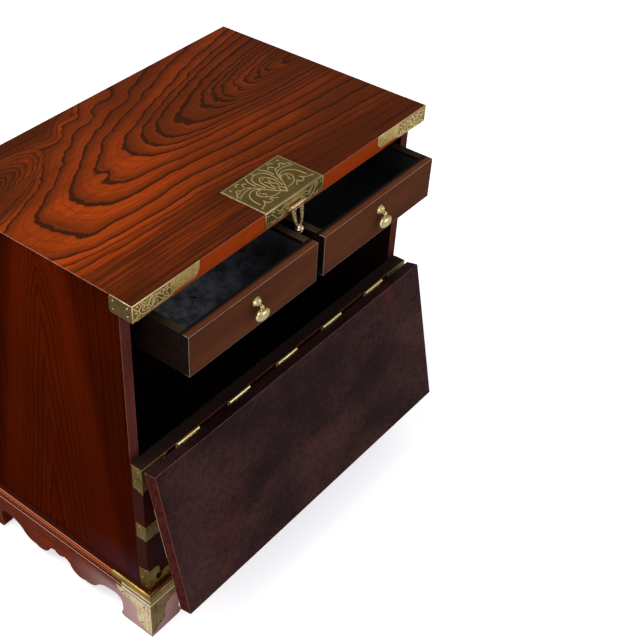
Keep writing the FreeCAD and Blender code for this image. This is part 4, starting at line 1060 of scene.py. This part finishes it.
MOUNT_VINE = (
    ((66, 4), (58, 8), (52, 14), (46, 19), (38, 21), (31, 18), (29, 12), (33, 8), (38, 9.6), (38, 13.6)),
    ((44, 20), (38, 14), (30, 5.6), (22, 4), (15, 7), (12, 13), (16, 18), (21, 16.6), (21.6, 12)),
    ((30, 5.6), (26, 11), (24, 18), (27, 22)), ((12, 13), (7, 16), (3.6, 21)), ((15, 7), (9, 5.6), (4, 3.6)),
    ((52, 14), (56, 19), (62, 21.6)), ((46, 19), (49, 22)), ((58, 8), (50, 4.6), (44, 4.4)),
    ((66, 3), (68.6, 9), (66.6, 16), (68, 22.4)), ((63, 8), (59, 12.6), (60.6, 17), (64, 17.6)),
    ((55, 5.6), (49, 10), (43, 15.6), (36, 17.6)), ((35, 5), (40, 3.6), (44, 8), (42.6, 12)),
    ((27, 8.4), (21.6, 8), (17.6, 11), (18, 14)), ((33.6, 12), (34.6, 15), (37, 15)),
    ((24, 18), (19, 21.6), (13, 21.6)), ((9, 9), (8, 12), (5, 13)), ((10.6, 19), (7.6, 21.6)),
    ((53, 18.6), (52.6, 22)), ((26, 11), (31, 21), (35, 22.6)), ((57, 3.4), (62, 3.6)),
)
# The nails at each front corner of the chest: piece, finish, radius, rise, the face they stand on, the right-hand
# corner they are measured from, and their places in millimetres. A place is inward and up on the front, back and
# up on the side, inward and back on the top.
MOUNT_NAILS = (
    ("top_mount_front_nails", "nail_brass", None, 0.55, "front", (CASE_SIDE + BRASS, TOP_LOW.y - BRASS, TOP_HIGH.z),
     ((80, -6), (79, -18), (99, -12), (113, -6), (112, -16.5))),
    ("top_mount_side_nails", "nail_brass", None, 0.55, "side", (CASE_SIDE + BRASS, TOP_LOW.y, TOP_HIGH.z),
     ((7, -6.5), (6.8, -18.5), (31, -6.5), (31, -19))),
    ("case_mount_nails", "dim_nail", None, 0.4, "front", (CASE_SIDE, CASE_FACE - BRASS, 0),
     ((6, 338), (43, 338), (6, 304), (8, 224), (23, 216), (8, 207), (6, 130), (6, 98), (37, 96))),
    ("case_mount_side_nails", "dim_nail", None, 0.4, "side", (CASE_SIDE + BRASS, CASE_FACE - BRASS, 0),
     ((6, 339), (12, 318), (6, 302), (12.5, 224), (6, 206), (6, 132), (12, 114), (6, 97))),
    ("foot_front_nails", "dark_nail", 0.0017, 0.25, "front", (0.3182, -0.16345, 0),
     ((50, 64), (12, 64), (19, 22), (30, 50))),
    ("foot_side_nails", "dark_nail", 0.0017, 0.25, "side", (0.3182, -0.16345, 0),
     ((58, 62.6), (13, 63), (18.5, 22))),
    ("cap_nails", "dark_nail", None, 0.2, "top", (0.3164, -0.16165, 0.0908),
     ((6, 30), (6, 70), (30, 6), (70, 6), (6.5, 6.5))),
)


class CHEST_OT_mounts(bpy.types.Operator):
    """Corner mounts, straps, caps and foot mounts with their chasing and nails"""
    bl_idname = "chest.mounts"
    bl_label = "Mounts and nails"

    def execute(self, context):
        # The tints and side tints of these brasses are painted light and shade: the foot mounts' fronts are painted
        # dark as shaded and their sides bright as lit, the rolled beads bright as lit, the top mounts' fronts bright
        # and their sides dark, the case mounts dark with their sides darker still. Their level bands are painted
        # shade: under each bead on the foot mounts, and on the beads' fascia.
        case_brass = sheet_brass("case_mount_brass", chased=0.4, dull=0.8, tint=(0.54, 0.45, 0.20),
                                 painted_side_light=(0.36, 0.30, 0.11))
        foot_brass = sheet_brass("foot_mount_brass", chased=0.35, dull=0.5, rough=0.42, tint=(0.57, 0.49, 0.45),
                                 painted_side_light=(1.95, 1.96, 2.95), streaks=0.42,
                                 lines=((0.0712, 0.0013, (0.09, 0.06, 0.035)),))
        bead_brass = sheet_brass("bead_brass", dull=0.1, tint=(1.2, 1.2, 1.6), painted_side_light=(1.6, 1.9, 3.6),
                                 lines=((0.0800, 0.0033, (0.10, 0.072, 0.014)),))
        top_brass = sheet_brass("top_mount_brass", chased=0.3, dull=0.4, tint=(1.6, 1.5, 1.3),
                                painted_side_light=(0.25, 0.20, 0.085))
        cap_brass = sheet_brass("cap_brass", dull=0.6, tint=(0.76, 0.67, 0.42))
        chased = sheet_brass("chased_mount_brass", relief=True, dull=0.5, tint=(1.5, 1.35, 1.05))
        nails = {name: turned_brass(name, tint, rough) for name, tint, rough in (
            ("nail_brass", (0.72, 0.60, 0.30), 0.3), ("dim_nail", (0.42, 0.34, 0.15), 0.35),
            ("dark_nail", (0.020, 0.012, 0.008), 0.55))}
        finish_node(top_brass, "left_top_corner_mount", "right_top_corner_mount")
        finish_node(cap_brass, "left_moulding_cap", "right_moulding_cap")
        finish_node(case_brass, "left_middle_strap", "right_middle_strap", "rail_corner_mounts",
                    "lower_corner_mounts")
        finish_node(foot_brass, "foot_mounts")
        self.roll_beads(bead_brass)
        for hand, sign in HANDS:
            self.chase_top_mount(hand, sign, chased)
            for name, finish, radius, rise, face, (x, y, z), places in MOUNT_NAILS:
                places = [(a / 1000, b / 1000) for a, b in places]
                points, outward = {
                    "front": ([(sign * (x - a), y, z + b) for a, b in places], (0, -1, 0)),
                    "side": ([(sign * x, y + a, z + b) for a, b in places], (sign, 0, 0)),
                    "top": ([(sign * (x - a), y + b, z) for a, b in places], (0, 0, 1)),
                }[face]
                domed_heads(f"{hand}_{name}", points, outward, nails[finish], "case", radius, rise)
        return {"FINISHED"}

    def chase_top_mount(self, hand, sign, material):
        """The vine engraved on the front of a top corner mount."""
        corner = (sign * (CASE_SIDE + BRASS), TOP_LOW.y - BRASS, TOP_HIGH.z - 0.0256)
        lines = [smooth_path(np.array(line, float) * 0.001) * [-sign, 1] for line in MOUNT_VINE]
        outline = [(-sign * x, z) for x, z in ((0.0, 0.0006), (0.070, 0.0022), (0.070, 0.0252), (0.0, 0.0252))]
        chased_sheet(f"{hand}_top_mount_chasing", corner, (1, 0, 0), (0, 0, 1), outline, lines,
                     [(-sign * 0.040, 0.0112, 0.0012), (-sign * 0.019, 0.0136, 0.0012)], material, "case",
                     border=0.0012)

    def roll_beads(self, material):
        """Brass rolled over the moulding's bead above each foot mount. Its section leaves the case's faces by
        (out, height) and is carried along the front, round the corner and along the side."""
        out, height = np.array([
            (12.45, 72.8), (13.2, 73.0), (13.75, 73.7), (13.95, 74.7), (13.75, 75.7), (13.2, 76.5), (12.7, 76.8),
            (12.65, 79), (12.65, 83.0), (12.3, 83.55), (10.7, 83.6)]).T / 1000
        run = 0.058
        travel = np.concatenate([-np.linspace(run, 0, 40), np.linspace(0, run, 40)])
        for hand, sign in HANDS:
            x = sign * (CASE_SIDE + out[:, None] + np.minimum(travel, 0)[None])
            y = CASE_FACE - out[:, None] + np.maximum(travel, 0)[None]
            z = np.broadcast_to(height[:, None], x.shape)
            faces = grid_faces(len(out), len(travel))[:, ::sign]
            mesh_piece(f"{hand}_rolled_bead", np.stack([x, y, z], -1).reshape(-1, 3), faces, material, "case",
                       "brass", smooth=False)


class CHEST_OT_pulls(bpy.types.Operator):
    """Domed post, wire loops and apple-shaped drop of each drawer pull"""
    bl_idname = "chest.pulls"
    bl_label = "Drawer pulls"

    def execute(self, context):
        bright = turned_brass("pull_brass", (0.88, 0.76, 0.38), 0.3)
        for hand, _ in HANDS:
            low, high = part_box(f"{hand}_pull_post")
            centre = np.array([(low.x + high.x) / 2, high.y, high.z - 0.0068])
            dome = [(0.0071, -0.0002), (0.0071, 0.0008), (0.0065, 0.0018), (0.0056, 0.0038), (0.0042, 0.0054),
                    (0.0022, 0.0062), (0.00001, 0.0064)]
            post = lathed(dome, centre, (0, -1, 0))
            eye = np.linspace(0, 2 * np.pi, 30)[:, None]
            loop = tube(centre + np.hstack([0 * eye, -0.0090 + 0.0028 * np.cos(eye), -0.0031 + 0.0022 * np.sin(eye)]),
                        0.0008)
            piece = mesh_piece(f"{hand}_pull_rose", *merged([post, loop]), bright, f"{hand}_drawer", "brass")
            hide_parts(f"{hand}_pull_post")
            low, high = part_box(f"{hand}_pull_drop")
            pin = np.array([(low.x + high.x) / 2, (low.y + high.y) / 2, high.z - 0.0019])
            apple = [(0.00001, -0.0215), (0.0052, -0.0211), (0.0094, -0.0192), (0.0122, -0.0160), (0.0130, -0.0126),
                     (0.0120, -0.0094), (0.0090, -0.0064), (0.0052, -0.0053), (0.0022, -0.0062), (0.00001, -0.0068)]
            body = lathed(apple, pin, (0, 0, 1), squash=(0.48, 1.0))
            bail = smooth_path([(-0.0022, 0, -0.0075), (-0.0025, 0, -0.0045), (-0.0022, 0, -0.0012), (0, 0, 0.0003),
                                (0.0022, 0, -0.0012), (0.0025, 0, -0.0045), (0.0022, 0, -0.0075)], 6)
            piece = mesh_piece(f"{hand}_pull_apple", *merged([body, tube(pin + bail, 0.0009)]), bright,
                               f"{hand}_pull", "brass")
            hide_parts(f"{hand}_pull_drop")
        return {"FINISHED"}


class CHEST_OT_stand(bpy.types.Operator):
    """Red-brown mouldings and scrolled aprons of the stand"""
    bl_idname = "chest.stand"
    bl_label = "Stand"

    def execute(self, context):
        tones = ((0.30, 0.036, 0.003), (0.14, 0.017, 0.002), (0.03, 0.004, 0.002))
        # Light painted on the moulding by height: painted shade on the fascia, a dark painted reflection on the ledge
        # top, and painted highlights on the bead, the ovolo and the ledge's inner arris.
        lines = ((0.0805, 0.0030, (0.030, 0.005, 0.003)), (0.0770, 0.0006, (0.80, 0.44, 0.36)),
                 (0.0868, 0.0015, (0.56, 0.105, 0.018)), (0.0905, 0.0010, (0.030, 0.007, 0.006)),
                 (0.0894, 0.0004, (0.62, 0.24, 0.15)))
        # A pale painted sheen on the stand toward the front corners, low on the aprons; pale gives its amount.
        painted_sheen = ((0.52, 0.34, 0.335), 0.078, 0.05)
        # The stand's arris colour is its wear with a painted highlight, even along the moulding.
        across, along = (
            figured_wood(name, "Straight", origin, turn, tones, (0.26, 0.012, 0, 0.3), bands=0.4, fine=0.2, shade=0.1,
                         painted_sheen=(pale, *painted_sheen), worn_and_lit=(0.80, 0.42, 0.30), even=0.9, lines=lines)
            for name, origin, turn, pale in (("stand_wood_front", (-0.31, 0, 0.09), FACE_FRONT, 0.62),
                                             ("stand_wood_side", (0, 0.31, 0.09), GRAIN_ALONG_Y, 0.8)))
        finish_node(across, "stand_front_apron", "stand_front_moulding", "stand_back_apron")
        finish_node(along, "stand_left_apron", "stand_right_apron", "stand_left_moulding",
                    "stand_right_moulding")
        return {"FINISHED"}


class CHEST_OT_stage(bpy.types.Operator):
    """Pale floor, soft light and the camera"""
    bl_idname = "chest.stage"
    bl_label = "Stage"

    def execute(self, context):
        self.floor()
        self.light()
        self.camera()
        context.scene.view_settings.view_transform = "Standard"
        return {"FINISHED"}

    def floor(self):
        reach = np.linspace(-30, 30, 3)
        x, y = np.meshgrid(reach, reach)
        points = np.stack([x.ravel(), y.ravel(), np.zeros(9)], 1)
        mesh = bpy.data.meshes.new("floor")
        mesh.from_pydata(points.tolist(), [], grid_faces(3, 3).tolist())
        placed("floor", mesh)
        g = Finish("pale_floor")
        path = g.outputs(g.node("LightPath"))
        seen = g.math("MAXIMUM", path["Is Camera Ray"], path["Is Glossy Ray"] * 0.35)
        seen = g.math("MAXIMUM", seen, path["Is Transmission Ray"])
        mesh.materials.append(g.done({
            "Base Color": g.mix(path["Is Glossy Ray"], (0.80, 0.79, 0.76), (0.34, 0.33, 0.33)), "Roughness": 0.9,
            "Specular IOR Level": 0, "Emission Color": (0.93, 0.93, 1), "Emission Strength": seen * 0.62}))

    def light(self):
        world = bpy.data.worlds.new("studio")
        bpy.context.scene.world = world
        world.use_nodes = True
        world.node_tree.nodes.clear()
        g = Graph(world.node_tree)
        path = g.outputs(g.node("LightPath"))
        seen = g.math("MAXIMUM", path["Is Camera Ray"], path["Is Transmission Ray"])
        strength = g.ramp(seen, 0, 1, 0.55, 1.0, "LINEAR") + path["Is Glossy Ray"] * -0.22
        g.put(g.node("OutputWorld").inputs[0], g.add("Background", {"Color": (1, 1, 1), "Strength": strength}))
        lamps = (
            ("key_lamp", (-0.9, 0.4, 2.3), (0, 0.0, 0.4), 1.6, 34, (1.0, 0.97, 0.93)),
            ("left_lamp", (-2.2, -0.6, 0.9), (0, 0.0, 0.35), 1.1, 12, (1.0, 0.96, 0.95)),
            ("front_lamp", (1.1, -2.2, 1.3), (0, 0.0, 0.4), 1.3, 12, (0.97, 0.97, 1.0)),
        )
        for name, place, aim, size, power, tint in lamps:
            data = bpy.data.lights.new(name, "AREA")
            data.shape, data.size, data.energy, data.color = "DISK", size, power, tint
            lamp = placed(name, data)
            lamp.location = place
            away = np.array(place) - np.array(aim)
            lamp.rotation_euler = (math.atan2(math.hypot(away[0], away[1]), away[2]), 0,
                                   math.atan2(away[0], -away[1]))

    def camera(self):
        data = bpy.data.cameras.new("camera")
        data.sensor_width, data.lens = 36, 66.98
        data.shift_x, data.shift_y = 0.15875, 0.08313
        camera = placed("camera", data)
        bpy.context.scene.camera = camera
        azimuth, elevation, roll = math.radians(-48.86), math.radians(42.21), math.radians(-0.31)
        back = np.array([math.sin(azimuth) * math.cos(elevation), -math.cos(azimuth) * math.cos(elevation),
                         math.sin(elevation)])
        camera.location = np.array([-0.00027, -0.02015, 0.2328]) + back * sizes().camera_distance
        camera.rotation_mode = "XYZ"
        camera.rotation_euler = (math.pi / 2 - elevation, 0, azimuth)
        camera.rotation_euler.rotate_axis("Z", roll)


class CHEST_PT_panel(bpy.types.Panel):
    """Sizes, colours and steps of the chest's dressing"""
    bl_label = "Drop-Front Chest"
    bl_idname = "CHEST_PT_panel"
    bl_space_type = "VIEW_3D"
    bl_region_type = "UI"
    bl_category = "Chest"

    def draw(self, context):
        for group in (context.scene.chest_sizes, context.scene.chest_colours):
            column = self.layout.column(align=True)
            for key in group.bl_rna.properties.keys():
                if key not in ("rna_type", "name"):
                    column.prop(group, key)
        for step in STEPS:
            self.layout.operator(step.bl_idname)


STEPS = (CHEST_OT_stage, CHEST_OT_case, CHEST_OT_drop_front, CHEST_OT_drawers, CHEST_OT_lock, CHEST_OT_hinges,
         CHEST_OT_mounts, CHEST_OT_pulls, CHEST_OT_stand)


CLASSES = (ChestSizes, ChestColours, *STEPS, CHEST_PT_panel)


def register():
    for group in CLASSES:
        bpy.utils.register_class(group)
    bpy.types.Scene.chest_sizes = PointerProperty(type=ChestSizes)
    bpy.types.Scene.chest_colours = PointerProperty(type=ChestColours)


def unregister():
    del bpy.types.Scene.chest_sizes, bpy.types.Scene.chest_colours
    for group in reversed(CLASSES):
        bpy.utils.unregister_class(group)


def main():
    register()
    for step in STEPS:
        area, name = step.bl_idname.split(".")
        getattr(getattr(bpy.ops, area), name)()


if __name__ == "__main__":
    main()
